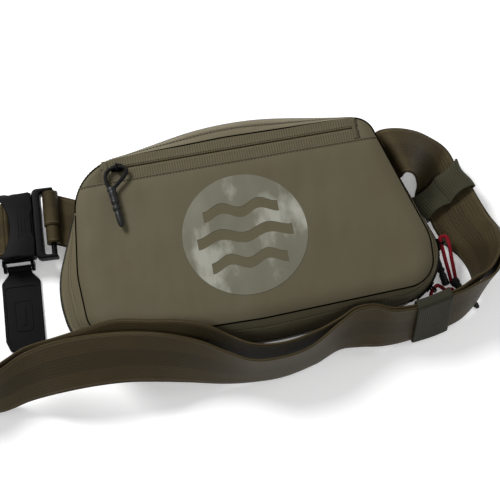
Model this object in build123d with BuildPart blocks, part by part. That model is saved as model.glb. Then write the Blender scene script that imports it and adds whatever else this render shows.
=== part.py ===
"""Padded waist pack lying on its back, with its webbing belt, side-release buckle and cord pulls.

Frame: origin at the middle of the back panel's resting face, +X along the pack's width,
+Y towards the zipped top edge, +Z up through the front panel.  Millimetres.
"""
import os
from math import cos, pi, radians, sin, tan

from build123d import *

os.makedirs("parts", exist_ok=True)

# ---- driving dimensions of the pack ----
BACK_TOP = 8.0        # thickness of the padded back panel
WALL_LOW = 14.0       # the upright band that carries the main zipper starts here
WALL_HIGH = 25.0      # and ends here
SEAM_Z = 52.0         # height of the seam round the front panel
CROWN_Z = 58.0        # top of the front panel
SKIN = 1.4            # fabric with its lining
GAP = 0.3             # clearance between neighbouring pieces
ZIP_END_Y = -90.0     # the main zipper stops here, on both lower corners

# corner points and corner radii of the pack's outline at three heights
BACK_OUTLINE = [(-132, 78), (0, 104), (127, 84), (164, -40), (156, -80), (5, -96), (-158, -78), (-169, -22)]
WIDE_OUTLINE = [(-137, 88), (0, 114), (129, 92), (171, -42), (161, -89), (5, -104), (-168, -86), (-178, -22)]
SEAM_OUTLINE = [(-145, 82), (-5, 86), (127, 83), (160, -40), (156, -83), (0, -88), (-152, -84), (-156, -20)]
BACK_RADII = [40, 300, 24, 40, 38, 300, 42, 80]
WIDE_RADII = [50, 300, 28, 36, 52, 300, 46, 90]
SEAM_RADII = [48, 300, 20, 50, 27, 300, 30, 100]

# ---- front zipper ----
ZIP_Y = 72.5          # line of the front zipper
ZIP_LEFT = -121.0
ZIP_RIGHT = 117.0
TAPE_Z = 53.0         # underside of the front zipper's tape
SLIT = 1.4            # gap between the two rows of coil
RIB = 1.7             # width and height of one row of coil
FRONT_SLIDER_X = -106.0

# ---- webbing ----
WEB = 50.0            # belt width
WEB_T = 2.0           # belt thickness

# ---- buckle ----
BUCKLE_TURN = radians(-3)
BUCKLE = Plane(origin=(-175, 44, 18), x_dir=(cos(BUCKLE_TURN), sin(BUCKLE_TURN), 0), z_dir=(0, 0, 1))
BAR_R = 2.6           # bars that the webbing turns round
BUCKLE_W = 68.0
SOCKET_BAR_X = -43.0  # bar of the socket, in the buckle's own frame


def save(name, label):
    """Label a finished piece and write it as its own file."""
    name.part.label = label
    export_step(name.part, f"parts/{label}.step")


def blend_outline(low, high, share):
    """Corner points a share of the way from one outline to the next."""
    return [(a[0] + (b[0] - a[0]) * share, a[1] + (b[1] - a[1]) * share) for a, b in zip(low, high)]


def outline_at(z):
    """Corner points and radii of the pack's outline at height z."""
    if z <= WALL_LOW:
        share = z / WALL_LOW
        radii = [a + (b - a) * share for a, b in zip(BACK_RADII, WIDE_RADII)]
        return blend_outline(BACK_OUTLINE, WIDE_OUTLINE, share), radii
    if z <= WALL_HIGH:
        return WIDE_OUTLINE, WIDE_RADII
    share = min(1.0, (z - WALL_HIGH) / (SEAM_Z - WALL_HIGH)) ** 1.5
    radii = [a + (b - a) * share for a, b in zip(WIDE_RADII, SEAM_RADII)]
    return blend_outline(WIDE_OUTLINE, SEAM_OUTLINE, share), radii


def outline_face(z, inset=0.0, plane_z=None):
    """The pack's outline at height z, moved inwards by inset, lying at plane_z."""
    points, radii = outline_at(z)
    with BuildSketch(Plane.XY.offset(z if plane_z is None else plane_z)) as outline:
        with BuildLine():
            FilletPolyline(*points, radius=radii, close=True)
        make_face()
        if inset:
            offset(amount=-inset, mode=Mode.REPLACE)
    return outline.sketch


def shell(z_low, z_high, wall=SKIN, proud=0.0):
    """A band of fabric between two heights, following the outline."""
    with BuildPart() as band:
        loft([outline_face(z_low, -proud), outline_face(z_high, -proud)], ruled=True)
        loft([outline_face(z_low, wall), outline_face(z_high, wall)], ruled=True, mode=Mode.SUBTRACT)
    return band


def arc_radii(route):
    """Radius of each bend in a route: 0.45 of its shorter run over the tangent of half the turn."""
    radii = []
    for before, here, after in zip(route, route[1:], route[2:]):
        run_in = Vector(*here) - Vector(*before)
        run_out = Vector(*after) - Vector(*here)
        turn = radians(run_in.get_angle(run_out))
        radii.append(0.45 * min(run_in.length, run_out.length) / tan(turn / 2))
    return radii


def cord(route, diameter, label):
    """A cord along straight runs joined by tangent arcs; prints its length and bend radii."""
    radii = arc_radii(route)
    with BuildPart() as tube:
        with BuildLine() as path:
            FilletPolyline(*route, radius=radii)
        with BuildSketch(Plane(origin=path.line @ 0, z_dir=path.line % 0)):
            Circle(diameter / 2)
        sweep()
    length = sum(edge.length for edge in path.edges())
    ratio = tube.part.volume / (pi * diameter ** 2 / 4 * length)
    print(label, "length", round(length, 1), "radii", [round(r, 1) for r in radii],
          "volume ratio", round(ratio, 3))
    save(tube, label)
    return tube


# ================= the padded body =================

with BuildPart() as back_panel:
    loft([outline_face(0), outline_face(BACK_TOP - GAP)], ruled=True)
save(back_panel, "back_panel")

save(shell(BACK_TOP, WALL_LOW - GAP, 1.8), "rear_gusset")

zip_bands = {
    "main_zipper_tape_rear": (WALL_LOW, 17.2, SKIN, 0.0),
    "main_zipper_coil_rear": (17.4, 19.0, SKIN, 0.7),
    "main_zipper_coil_front": (20.2, 21.8, SKIN, 0.7),
    "main_zipper_tape_front": (22.0, WALL_HIGH - GAP, SKIN, 0.0),
}
for label, (low, high, wall, proud) in zip_bands.items():
    with BuildPart() as band:
        add(shell(low, high, wall, proud).part)
        with BuildSketch(Plane.XY.offset(low - 1)):
            with Locations((0, ZIP_END_Y - 30)):
                Rectangle(400, 60)
        extrude(amount=high - low + 2, mode=Mode.SUBTRACT)
    save(band, label)

# the fabric hinge along the bottom, where the main zipper stops
with BuildPart() as bottom_hinge_gusset:
    add(shell(WALL_LOW, WALL_HIGH - GAP, 1.8).part)
    with BuildSketch(Plane.XY.offset(WALL_LOW - 1)):
        with Locations((0, ZIP_END_Y + 120 - GAP)):
            Rectangle(400, 240)
    extrude(amount=WALL_HIGH - WALL_LOW + 2, mode=Mode.SUBTRACT)
save(bottom_hinge_gusset, "bottom_hinge_gusset")

GUSSET_SPLIT = 43.0
save(shell(WALL_HIGH, GUSSET_SPLIT - GAP), "gusset_wide_strip")
save(shell(GUSSET_SPLIT, SEAM_Z - GAP), "gusset_narrow_strip")

# the sheet between the main compartment and the front pocket
with BuildPart() as pocket_divider:
    extrude(outline_face(41, SKIN + 2.5), amount=1.2)
save(pocket_divider, "pocket_divider")

# the crowned front panel, cut away along the top for the zipper
CROWN_INSET = 13.0
ZIP_LAND = 12.2       # half the width that the zipper takes up
with BuildPart() as front_panel:
    loft([outline_face(SEAM_Z), outline_face(SEAM_Z, CROWN_INSET, CROWN_Z)], ruled=True)
    loft([outline_face(SEAM_Z, SKIN), outline_face(SEAM_Z, CROWN_INSET + SKIN, CROWN_Z - SKIN)],
         ruled=True, mode=Mode.SUBTRACT)
    with BuildSketch(Plane.XY.offset(SEAM_Z - 1)):
        with Locations(((ZIP_LEFT + ZIP_RIGHT) / 2, ZIP_Y - ZIP_LAND + 15)):
            Rectangle(ZIP_RIGHT - ZIP_LEFT, 30)
    extrude(amount=10, mode=Mode.SUBTRACT)
save(front_panel, "front_panel")

# ================= the front zipper =================

TAPE_T = 1.0
COIL_Z = TAPE_Z + 0.1
TAPE_EDGE = SLIT / 2 + RIB + 0.2
COIL_LEFT = ZIP_LEFT + 7.4
COIL_RIGHT = ZIP_RIGHT - 6.0
for label, side, reach in (("front_zipper_tape_upper", 1, 10.6), ("front_zipper_tape_lower", -1, 11.9)):
    with BuildPart() as tape:
        with BuildSketch(Plane.XY.offset(TAPE_Z)):
            with Locations(((ZIP_LEFT + ZIP_RIGHT) / 2, ZIP_Y + side * (TAPE_EDGE + reach) / 2)):
                Rectangle(ZIP_RIGHT - ZIP_LEFT - 2 * GAP, reach - TAPE_EDGE)
            add(outline_face(SEAM_Z, GAP, TAPE_Z), mode=Mode.INTERSECT)
        extrude(amount=TAPE_T)
    save(tape, label)

for label, side in (("front_zipper_coil_upper", 1), ("front_zipper_coil_lower", -1)):
    with BuildPart() as coil:
        with BuildSketch(Plane.YZ.offset(COIL_LEFT)):
            with Locations((ZIP_Y + side * (SLIT + RIB) / 2, COIL_Z + RIB / 2 - 0.4)):
                RectangleRounded(RIB, RIB, 0.5)
        extrude(amount=COIL_RIGHT - COIL_LEFT)
    save(coil, label)

# folded fabric tabs that cover the two ends of the front zipper
for label, x, width in (("zipper_garage_left", ZIP_LEFT + 1.2, 7.5), ("zipper_garage_right", ZIP_RIGHT - 1.2, 6.0)):
    inward = 1 if x < 0 else -1
    with BuildPart() as garage:
        with BuildSketch(Plane.XY.offset(TAPE_Z + TAPE_T + 0.2)):
            with Locations((x + inward * width / 2 - inward * 0.6, ZIP_Y - 0.6)):
                Rectangle(width - 2.4, 20)
            add(outline_face(SEAM_Z, GAP, TAPE_Z + TAPE_T + 0.2), mode=Mode.INTERSECT)
        extrude(amount=1.4)
        fillet(garage.edges().filter_by(Axis.Y).group_by(Axis.Z)[-1], 0.6)
    save(garage, label)


def zip_slider(plane, length, width, label, cord_room):
    """A slider on a coil zipper: a plate over the coil, a thin post through its slit, a plate below,
    and an arched bail across it, under which the pull's cord threads along the zipper.

    The plane's origin is on the coil's outer face, with x along the zipper and z outwards.
    """
    post = SLIT - 0.6
    plate, below, bail_bar = 1.6, 3.0, 1.2
    with BuildPart() as slider:
        with BuildSketch(plane.offset(0.3)):
            RectangleRounded(length, width, min(length, width) * 0.3)
        extrude(amount=plate)
        with BuildSketch(plane.offset(-below)):
            Rectangle(length * 0.5, post)
        extrude(amount=below + 0.5)
        with BuildSketch(plane.offset(-below - 0.9)):
            RectangleRounded(length * 0.8, width * 0.7, min(length, width) * 0.2)
        extrude(amount=1.0)
        side = Plane(origin=plane.offset(0.2 + plate).origin, x_dir=plane.y_dir, z_dir=plane.x_dir)
        with BuildSketch(side):
            with Locations((0, (cord_room + bail_bar) / 2)):
                Rectangle(width - 1.0, cord_room + bail_bar)
            with Locations((0, cord_room / 2)):
                Rectangle(width - 1.0 - 2 * bail_bar, cord_room, mode=Mode.SUBTRACT)
        extrude(amount=1.0, both=True)
    save(slider, label)


FRONT_COIL_TOP = COIL_Z + RIB - 0.4
zip_slider(Plane(origin=(FRONT_SLIDER_X, ZIP_Y, FRONT_COIL_TOP), x_dir=(1, 0, 0), z_dir=(0, 0, 1)),
           11.0, 8.6, "front_slider", 4.2)


# ================= pulls =================

CORD_D = 3.4          # thin cord of the front pull
PARACORD_D = 3.5      # red cord of the main pulls
GRIP_R = 3.7


def grip(start, direction, length, label):
    """A moulded pull grip: a thick sleeve, a collar and a thinner rounded tip."""
    axis = Vector(*direction).normalized()
    across = Vector(-axis.Y, axis.X, 0).normalized()
    plane = Plane(origin=start, x_dir=tuple(across), z_dir=tuple(across.cross(axis)))
    stages = [(0, 0), (0.86, 0), (1.0, 0.1), (0.93, 0.36), (0.72, 0.4), (1.0, 0.46), (1.0, 0.52),
              (0.72, 0.58), (0.8, 0.64), (0.72, 0.9), (0.45, 0.985), (0, 1)]
    with BuildPart() as part:
        with BuildSketch(plane):
            with BuildLine():
                Polyline(*[(radius * GRIP_R, along * length) for radius, along in stages], close=True)
            make_face()
        revolve(axis=Axis(start, tuple(axis)))
    save(part, label)


# the front pull: a loop of cord through the slider's bail, with its ends in the grip
FRONT_BAIL_Z = FRONT_COIL_TOP + 4.0
front_pull_route = [
    (-115.3, 51.7, 62.8), (-117.6, 60, 61.6), (-117.0, 67.5, 59.8), (-111.5, 72.5, FRONT_BAIL_Z),
    (-101.0, 72.5, FRONT_BAIL_Z), (-96.2, 67.5, 59.8), (-101.4, 60, 61.6), (-111.5, 51.4, 62.8),
]
cord(front_pull_route, CORD_D, "front_pull_cord")
grip((-113.3, 50.0, 62.9), (0.108, -0.994, 0), 36.0, "front_pull_grip")

# the main zipper's two sliders: a on the bend of the right side, b on the lower right corner
MAIN_COIL_PROUD = 0.7
MAIN_SLIT_Z = 19.6
SIDE_BEND = Vector(*WIDE_OUTLINE[3])
ABOVE = (Vector(*WIDE_OUTLINE[2]) - SIDE_BEND).normalized()
BELOW = (SIDE_BEND - Vector(*WIDE_OUTLINE[4])).normalized()
SIDE_RUN = (ABOVE + BELOW).normalized()
SIDE_OUT = Vector(SIDE_RUN.Y, -SIDE_RUN.X, 0)
BEND_CUT = WIDE_RADII[3] * (1 / cos(radians(ABOVE.get_angle(BELOW) / 2)) - 1)
slider_a = SIDE_BEND + SIDE_OUT * (MAIN_COIL_PROUD - BEND_CUT)
zip_slider(Plane(origin=(slider_a.X, slider_a.Y, MAIN_SLIT_Z), x_dir=tuple(SIDE_RUN), z_dir=tuple(SIDE_OUT)),
           11.0, 10.4, "main_slider_a", 4.8)

CORNER = (118.0, -40.9)      # centre of the lower right corner's arc
SLIDER_B_ANGLE = radians(-46)
B_OUT = (cos(SLIDER_B_ANGLE), sin(SLIDER_B_ANGLE), 0)
B_REACH = WIDE_RADII[4] + MAIN_COIL_PROUD + 0.3
zip_slider(Plane(origin=(CORNER[0] + B_OUT[0] * B_REACH, CORNER[1] + B_OUT[1] * B_REACH, MAIN_SLIT_Z),
                 x_dir=(-B_OUT[1], B_OUT[0], 0), z_dir=B_OUT),
           10.0, 10.4, "main_slider_b", 4.8)

red_cord_a_route = [
    (178.9, -75.3, 5.2), (178.2, -66, 7.8), (176.6, -56, 12.5), (175.2, -47, 18.2), (174.7, -40.5, 19.6),
    (174.3, -34.8, 19.8), (181.2, -34.4, 19.8), (182.2, -43, 18.6), (182.4, -54, 13.5), (183.2, -64, 8.5),
    (183.4, -72.9, 5.2),
]
cord(red_cord_a_route, PARACORD_D, "red_cord_a")
grip((182.2, -76.0, 4.1), (0.5, -0.866, 0), 32, "red_grip_a")

red_cord_b_route = [
    (171.0, -81.6, 6.2), (166.8, -79.2, 12), (161.9, -78.1, 18.4), (153.9, -85.9, 19.8),
    (155.2, -92.8, 19.4), (162.4, -91.8, 17.5), (168, -88.2, 12), (171.8, -85.8, 6.2),
]
cord(red_cord_b_route, PARACORD_D, "red_cord_b")
with BuildPart() as red_knot_b:
    with Locations((175.9, -83.2, 4.6)):
        Sphere(4.2)
save(red_knot_b, "red_knot_b")
grip((173.8, -77.4, 4.1), (-0.11, 0.994, 0), 31, "red_grip_b")

# ================= emblem =================

EMBLEM_R = 56.0
EMBLEM_AT = (-3, -10)
WAVE = [(-1.0, -3), (-0.5, 3), (0, -3), (0.5, 3), (1.0, -3)]
with BuildPart() as emblem:
    with BuildSketch(Plane.XY.offset(CROWN_Z + 0.2)):
        with Locations(EMBLEM_AT):
            Circle(EMBLEM_R)
        for rise, half in ((24, 34), (0, 43), (-24, 34)):
            with BuildLine():
                lower = Spline(*[(EMBLEM_AT[0] + half * x, EMBLEM_AT[1] + rise + y - 5) for x, y in WAVE])
                upper = Spline(*[(EMBLEM_AT[0] + half * x, EMBLEM_AT[1] + rise + y + 5) for x, y in WAVE])
                Line(lower @ 0, upper @ 0)
                Line(lower @ 1, upper @ 1)
            make_face(mode=Mode.SUBTRACT)
    extrude(amount=0.5)
save(emblem, "emblem")

# ================= buckle, in its own frame: x along the belt, y across it =================


def in_buckle(x=0.0, y=0.0, z=0.0):
    """The buckle's plane moved to a point of its own frame."""
    return Plane(origin=BUCKLE.from_local_coords(Vector(x, y, z)), x_dir=BUCKLE.x_dir, z_dir=BUCKLE.z_dir)


def across_buckle(x, y, z):
    """A plane square to the buckle's bars, facing down the belt's width."""
    return Plane(origin=BUCKLE.from_local_coords(Vector(x, y, z)), x_dir=BUCKLE.x_dir, z_dir=-BUCKLE.y_dir)


def along_buckle(x, y, z):
    """A plane square to the buckle's length."""
    return Plane(origin=BUCKLE.from_local_coords(Vector(x, y, z)), x_dir=BUCKLE.y_dir, z_dir=BUCKLE.x_dir)


HALF_W = BUCKLE_W / 2
ARM = 3.4             # wall beside the bars
with BuildPart() as buckle_plug:
    with BuildSketch(in_buckle(z=-6)):
        with Locations((-6.5, 0)):
            RectangleRounded(20, BUCKLE_W, 4)
        with Locations((-3.5, 0)):
            Rectangle(17, BUCKLE_W - 2 * ARM, mode=Mode.SUBTRACT)
    extrude(amount=12)
    with BuildSketch(across_buckle(0, HALF_W - 1, 0)):
        Circle(BAR_R)
    extrude(amount=BUCKLE_W - 2)
    with BuildSketch(in_buckle(z=-3)):
        with Locations((-22, 0)):
            Rectangle(14, 9)
    extrude(amount=6)
save(buckle_plug, "buckle_plug")

SOCKET_RIGHT = -17.0
SOCKET_LEFT = -37.0
TAB_X = -35.5         # middle of the release tab
HINGE_Y = -35.5       # axis of the release tab
HINGE_Z = -14.0
LUG_T = 2.8           # the two lugs that hold the tab's pin
LUG_REACH = 13.1
with BuildPart() as buckle_socket:
    with BuildSketch(in_buckle(z=-8)):
        with Locations(((SOCKET_LEFT + SOCKET_RIGHT) / 2, 0)):
            RectangleRounded(SOCKET_RIGHT - SOCKET_LEFT, 62, 2.5)
    extrude(amount=16)
    chamfer(buckle_socket.edges().group_by(Axis.Z)[-1], 1.5)
    with BuildSketch(in_buckle(z=-5)):
        with Locations((SOCKET_RIGHT - 8, 0)):
            Rectangle(17, 56)
    extrude(amount=10, mode=Mode.SUBTRACT)
    with BuildSketch(in_buckle(z=-4.4)):
        with Locations((SOCKET_RIGHT - 9.5, 0)):
            Rectangle(10, 70)
    extrude(amount=8.8, mode=Mode.SUBTRACT)
    with BuildSketch(in_buckle(z=-5)):
        with Locations((SOCKET_LEFT - 5.5, 0)):
            Rectangle(12, 62)
        with Locations((SOCKET_LEFT - 6, 0)):
            Rectangle(14, 55, mode=Mode.SUBTRACT)
    extrude(amount=10)
    with BuildSketch(across_buckle(SOCKET_BAR_X, 30, 0)):
        Circle(BAR_R)
    extrude(amount=60)
    # two stepped lugs under the lower side carry the release tab's pin and let the tab stand up
    for x in (TAB_X - LUG_REACH, TAB_X + LUG_REACH):
        with BuildSketch(in_buckle(x=x, z=HINGE_Z - 3)):
            with Locations((0, HINGE_Y + 0.9)):
                Rectangle(LUG_T, 8.4)
        extrude(amount=6.8)
        with BuildSketch(in_buckle(x=x, z=HINGE_Z + 3.8)):
            with Locations((0, HINGE_Y + 3.1)):
                Rectangle(LUG_T, 4.0)
        extrude(amount=5.2)
    with BuildSketch(in_buckle(z=-8)):
        with Locations((TAB_X, -30)):
            Rectangle(29, 3)
    extrude(amount=3)
    with BuildSketch(along_buckle(TAB_X - 17, HINGE_Y, HINGE_Z)):
        Circle(1.45)
    extrude(amount=34, mode=Mode.SUBTRACT)
save(buckle_socket, "buckle_socket")

for label, side in (("buckle_prong_upper", 1), ("buckle_prong_lower", -1)):
    with BuildPart() as prong:
        with BuildSketch(in_buckle(z=-4)):
            with BuildLine():
                Polyline((-16.9, side * 20), (-16.9, side * 24.5), (-22, side * 24.5), (-22.4, side * 29),
                         (-25.5, side * 28.6), (-31, side * 23), (-31, side * 20), close=True)
            make_face()
        extrude(amount=8)
    save(prong, label)

with BuildPart() as tab_pin:
    with BuildSketch(along_buckle(TAB_X - 14.5, HINGE_Y, HINGE_Z)):
        Circle(1.4)
    extrude(amount=29)
save(tab_pin, "tab_pin")

TAB_W = 36.0
TAB_END = -113.0
with BuildPart() as pull_tab:
    with BuildSketch(in_buckle(z=-17)):
        with BuildLine():
            Polyline((TAB_X - 11, -36), (TAB_X + 11, -36), (TAB_X + 11, -40), (TAB_X + TAB_W / 2, -48),
                     (TAB_X + TAB_W / 2, TAB_END + 6), (TAB_X + 14, TAB_END), (TAB_X - 14, TAB_END),
                     (TAB_X - TAB_W / 2, TAB_END + 10), (TAB_X - TAB_W / 2, -48), (TAB_X - 11, -40), close=True)
        make_face()
    extrude(amount=2.4)
    with BuildSketch(along_buckle(TAB_X - 11, HINGE_Y, HINGE_Z)):
        Circle(3)
    extrude(amount=22)
    with BuildSketch(along_buckle(TAB_X - 12, HINGE_Y, HINGE_Z)):
        Circle(1.55)
    extrude(amount=24, mode=Mode.SUBTRACT)
save(pull_tab, "pull_tab")

# the short webbing that holds the plug to the pack: a loop round the plug's bar and a stitched foot
LOOP_LOW, LOOP_HIGH = -19.7, 30.2
FOOT_REACH, FOOT_SKEW = 40.0, 15.0
with BuildPart() as anchor_loop:
    with BuildSketch(across_buckle(0, LOOP_HIGH, 0)):
        Circle(6.4)
        with Locations((2, -6.2)):
            Rectangle(4, 3.2)
    extrude(amount=LOOP_HIGH - LOOP_LOW)
    with BuildSketch(in_buckle(z=-7.8)):
        with BuildLine():
            Polyline((2, LOOP_LOW), (2, LOOP_HIGH), (FOOT_REACH, LOOP_HIGH - FOOT_SKEW),
                     (FOOT_REACH, LOOP_LOW - FOOT_SKEW), close=True)
        make_face()
    extrude(amount=3.2)
    with BuildSketch(across_buckle(0, LOOP_HIGH + 1, 0)):
        Circle(BAR_R + GAP)
    extrude(amount=LOOP_HIGH - LOOP_LOW + 2, mode=Mode.SUBTRACT)
    extrude(outline_face(WALL_LOW, -2 * GAP, 0), amount=40, mode=Mode.SUBTRACT)
save(anchor_loop, "anchor_loop")

with BuildPart() as anchor_sleeve:
    with BuildSketch(across_buckle(0, LOOP_HIGH, 0)):
        Circle(7.4)
        Circle(6.6, mode=Mode.SUBTRACT)
        with Locations((0, -9)):
            Rectangle(20, 10, mode=Mode.SUBTRACT)
    extrude(amount=33)
    extrude(outline_face(WALL_LOW, -2 * GAP - MAIN_COIL_PROUD, 0), amount=40, mode=Mode.SUBTRACT)
save(anchor_sleeve, "anchor_sleeve")

# ================= belt =================


def leaning(bearing, rise):
    """Unit vector at a compass bearing from +X and a rise above the floor, in degrees."""
    level = cos(radians(rise))
    return Vector(level * cos(radians(bearing)), level * sin(radians(bearing)), sin(radians(rise)))


def strap(stations, label):
    """Webbing through a list of stations: x, y, z of one edge, then bearing and rise towards the other."""
    across = [leaning(*station[3:]) for station in stations]
    middles = [Vector(*station[:3]) + lean * (WEB / 2) for station, lean in zip(stations, across)]
    sections = []
    for i, lean in enumerate(across):
        along = middles[min(i + 1, len(middles) - 1)] - middles[max(i - 1, 0)]
        along = (along - lean * along.dot(lean)).normalized()
        with BuildSketch(Plane(origin=middles[i], x_dir=tuple(lean), z_dir=tuple(along))) as section:
            Rectangle(WEB, WEB_T)
        sections.append(section.sketch)
    with BuildPart() as webbing:
        loft(sections, ruled=True)
    length = sum((b - a).length for a, b in zip(middles, middles[1:]))
    ratio = webbing.part.volume / (length * WEB * WEB_T)
    print(label, "length", round(length), "volume ratio", round(ratio, 3))
    save(webbing, label)


# the long layer: from the right side of the pack, over an arch, round the front and back to the socket
belt_outer_stations = [
    (151.6, 26.5, 27, 106, 0), (152.0, 26, 36, 103, -6), (153.2, 25, 43, 98, -11), (156.5, 23.5, 46.5, 88, -15),
    (160.5, 21.5, 43, 74, -16), (163.5, 19, 33, 60, -13), (165, 16, 20, 46, -4), (164, 12.5, 8, 34, 10),
    (163.5, 8, 3.0, 26, 17), (172.3, -10, 3.0, 26, 17), (175.5, -22, 2.2, 20, 19), (180.5, -36, 2.2, 15, 22),
    (192, -53, 5, 14, 43), (203, -67, 8.5, 22, 62), (205, -86, 9.5, 20, 84), (189, -104, 10.5, 95, 77),
    (177, -111.5, 7, 87, 71), (165, -115, 4.0, 81, 67.5), (127, -121, 4.0, 81, 67.5), (114, -122.5, 7, 92, 65),
    (98, -123, 13, 92, 56), (84, -120.5, 12, 97, 60), (69, -118, 7, 98, 72), (39, -127, 3.4, 130, 80),
    (8, -133, 3, 97, 80), (-21, -132.5, 4, 70, 77), (-45, -130, 8, 67, 66), (-73, -125.5, 18, 65, 52),
    (-100, -122, 29, 77, 43), (-128, -118, 33, 81, 40), (-156, -116.5, 34, 86, 38), (-185, -116, 29.5, 87, 38),
    (-216, -116, 17, 84, 44), (-247, -119, 6, 76, 56), (-274, -112, 3, 55, 74), (-296, -92, 2.4, 20, 84),
    (-307, -64, 2.4, 5, 86), (-307, -34, 2.6, 5, 84), (-297, -10, 4, 60, 76), (-280, 6, 7.5, 82, 52),
    (-259, 15, 11.5, 87, 22), (-240, 19, 13.8, 87, 3), (-219.8, 19.8, 13.8, 87, 0),
]
strap(belt_outer_stations, "belt_outer_layer")

# the returning layer: from the socket along the inside of the long one to its end under the upper keeper
belt_inner_stations = [
    (163.3, 6.8, 5.5, 26, 17), (171.5, -10.1, 5.5, 26, 17), (174.5, -22, 5.0, 20, 19), (179, -36, 5.6, 15, 22),
    (190.5, -53, 8, 14, 46), (196, -68, 10.5, 15, 60), (195.5, -83.5, 12, 17, 80), (186.5, -98.5, 12, 77, 76),
    (175, -108.3, 8, 85, 71), (164.6, -112.5, 3.1, 81, 67.5), (126.6, -118.5, 3.1, 81, 67.5),
    (114, -119.8, 5.8, 92, 65), (98, -120.5, 11, 92, 56), (84, -117.8, 10.4, 97, 60), (69.5, -115, 6, 98, 71),
    (40, -116.5, 5, 90, 80), (10, -120, 5, 90, 81), (-17, -117, 6, 88, 79), (-34, -113.5, 9, 85, 72),
    (-51, -112, 18, 80, 62), (-78, -115, 30, 82, 42), (-104, -111.5, 33, 83, 40), (-134.5, -107, 35, 85, 39),
    (-158, -110, 34, 86, 38), (-186, -112, 26, 86, 37), (-216, -111, 13, 84, 42), (-243, -110.5, 4, 76, 58),
    (-268, -105, 2.6, 55, 74), (-288, -89, 2.4, 20, 84), (-299, -64, 2.4, 5, 86), (-299, -36, 2.8, 5, 84),
    (-291, -15, 5, 60, 76), (-277, 1, 11, 82, 52), (-258, 12.6, 17.5, 87, 22), (-240, 18.6, 21.8, 87, 3),
    (-219.8, 19.8, 22.2, 87, 0),
]
strap(belt_inner_stations, "belt_inner_layer")

# where the webbing turns round the socket's bar
with BuildPart() as belt_socket_loop:
    with BuildSketch(across_buckle(SOCKET_BAR_X, 23.2, 0)):
        Circle(5.2)
        Circle(3.2, mode=Mode.SUBTRACT)
        with Locations((-5, 0)):
            Rectangle(10, 12, mode=Mode.SUBTRACT)
    extrude(amount=WEB)
save(belt_socket_loop, "belt_socket_loop")

ELASTIC = 1.3         # thickness of the ribbed elastic keepers


def keeper(start, end, side, margin, label):
    """A flat elastic sleeve round both layers of the belt, between two of the outer layer's stations."""
    lean = leaning(*start[3:])
    along = (Vector(*end[:3]) - Vector(*start[:3])).normalized()
    stack = lean.cross(along) * side
    run = (Vector(*end[:3]) - Vector(*start[:3])).length
    origin = Vector(*start[:3]) + lean * (WEB / 2) + stack * 1.4 + along * margin
    with BuildPart() as sleeve:
        with BuildSketch(Plane(origin=origin, x_dir=tuple(lean), z_dir=tuple(along))):
            RectangleRounded(WEB + 1.4 + 2 * ELASTIC, 5.6 + 2 * ELASTIC, 2.2)
            RectangleRounded(WEB + 1.4, 5.6, 0.9, mode=Mode.SUBTRACT)
        extrude(amount=run - 2 * margin)
    save(sleeve, label)


keeper(belt_outer_stations[8], belt_outer_stations[9], -1, 0.6, "keeper_upper")
keeper(belt_outer_stations[17], belt_outer_stations[18], -1, 2.5, "keeper_lower")
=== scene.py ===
"""Looks of the zipped waist pack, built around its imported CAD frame.  Metres, in the CAD's own frame."""

from math import cos, pi, radians, sin, tan

import bmesh
import bpy
import numpy as np
from mathutils import Matrix, Vector, noise


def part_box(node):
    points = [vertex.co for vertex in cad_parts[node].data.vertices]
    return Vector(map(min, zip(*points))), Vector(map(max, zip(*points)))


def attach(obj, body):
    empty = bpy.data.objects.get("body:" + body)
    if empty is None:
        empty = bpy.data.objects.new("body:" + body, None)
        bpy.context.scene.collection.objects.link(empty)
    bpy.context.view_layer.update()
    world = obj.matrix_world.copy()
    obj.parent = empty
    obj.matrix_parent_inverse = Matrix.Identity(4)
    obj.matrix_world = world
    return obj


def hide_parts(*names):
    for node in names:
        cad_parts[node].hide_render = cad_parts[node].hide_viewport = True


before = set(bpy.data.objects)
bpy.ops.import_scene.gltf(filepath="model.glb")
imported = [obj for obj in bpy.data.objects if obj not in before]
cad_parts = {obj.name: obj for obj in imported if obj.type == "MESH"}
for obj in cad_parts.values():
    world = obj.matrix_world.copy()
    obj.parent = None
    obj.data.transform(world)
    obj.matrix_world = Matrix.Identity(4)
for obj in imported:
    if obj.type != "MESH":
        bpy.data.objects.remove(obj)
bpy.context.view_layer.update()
MM = 0.001
UP = (0.0, 0.0, 1.0)

# ================= camera, light and floor =================

CAMERA_AZIMUTH, CAMERA_ELEVATION = radians(-10.5), radians(74)
CAMERA_TARGET = Vector((0, -0.018, 0.030))
CAMERA_FAR = 1.075


def bearing(azimuth, elevation):
    """Unit vector from the middle towards a viewer at that azimuth and elevation."""
    level = cos(elevation)
    return Vector((sin(azimuth) * level, -cos(azimuth) * level, sin(elevation)))


def link(name, data):
    made = bpy.data.objects.new(name, data)
    bpy.context.scene.collection.objects.link(made)
    return made


def point_at(obj, place, target):
    obj.location = place
    obj.rotation_mode = "QUATERNION"
    obj.rotation_quaternion = (target - place).to_track_quat("-Z", "Y")


camera = link("camera", bpy.data.cameras.new("camera"))
camera.data.lens = 85
camera.data.sensor_width = 36
point_at(camera, CAMERA_TARGET + bearing(CAMERA_AZIMUTH, CAMERA_ELEVATION) * CAMERA_FAR, CAMERA_TARGET)
bpy.context.scene.camera = camera
bpy.context.scene.view_settings.view_transform = "Standard"

LAMPS = {
    "key_softbox": ((-0.7, 0.95, 1.15), 0.6, 27.0),
    "side_softbox": ((1.1, 0.2, 0.9), 0.6, 2.0),
    "front_fill": ((-0.1, -1.2, 1.5), 0.8, 5.5),
}
for lamp_name, (place, size, power) in LAMPS.items():
    lamp = link(lamp_name, bpy.data.lights.new(lamp_name, "AREA"))
    lamp.data.shape = "DISK"
    lamp.data.size = size
    lamp.data.energy = power
    point_at(lamp, Vector(place), Vector((0, 0, 0.02)))

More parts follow.
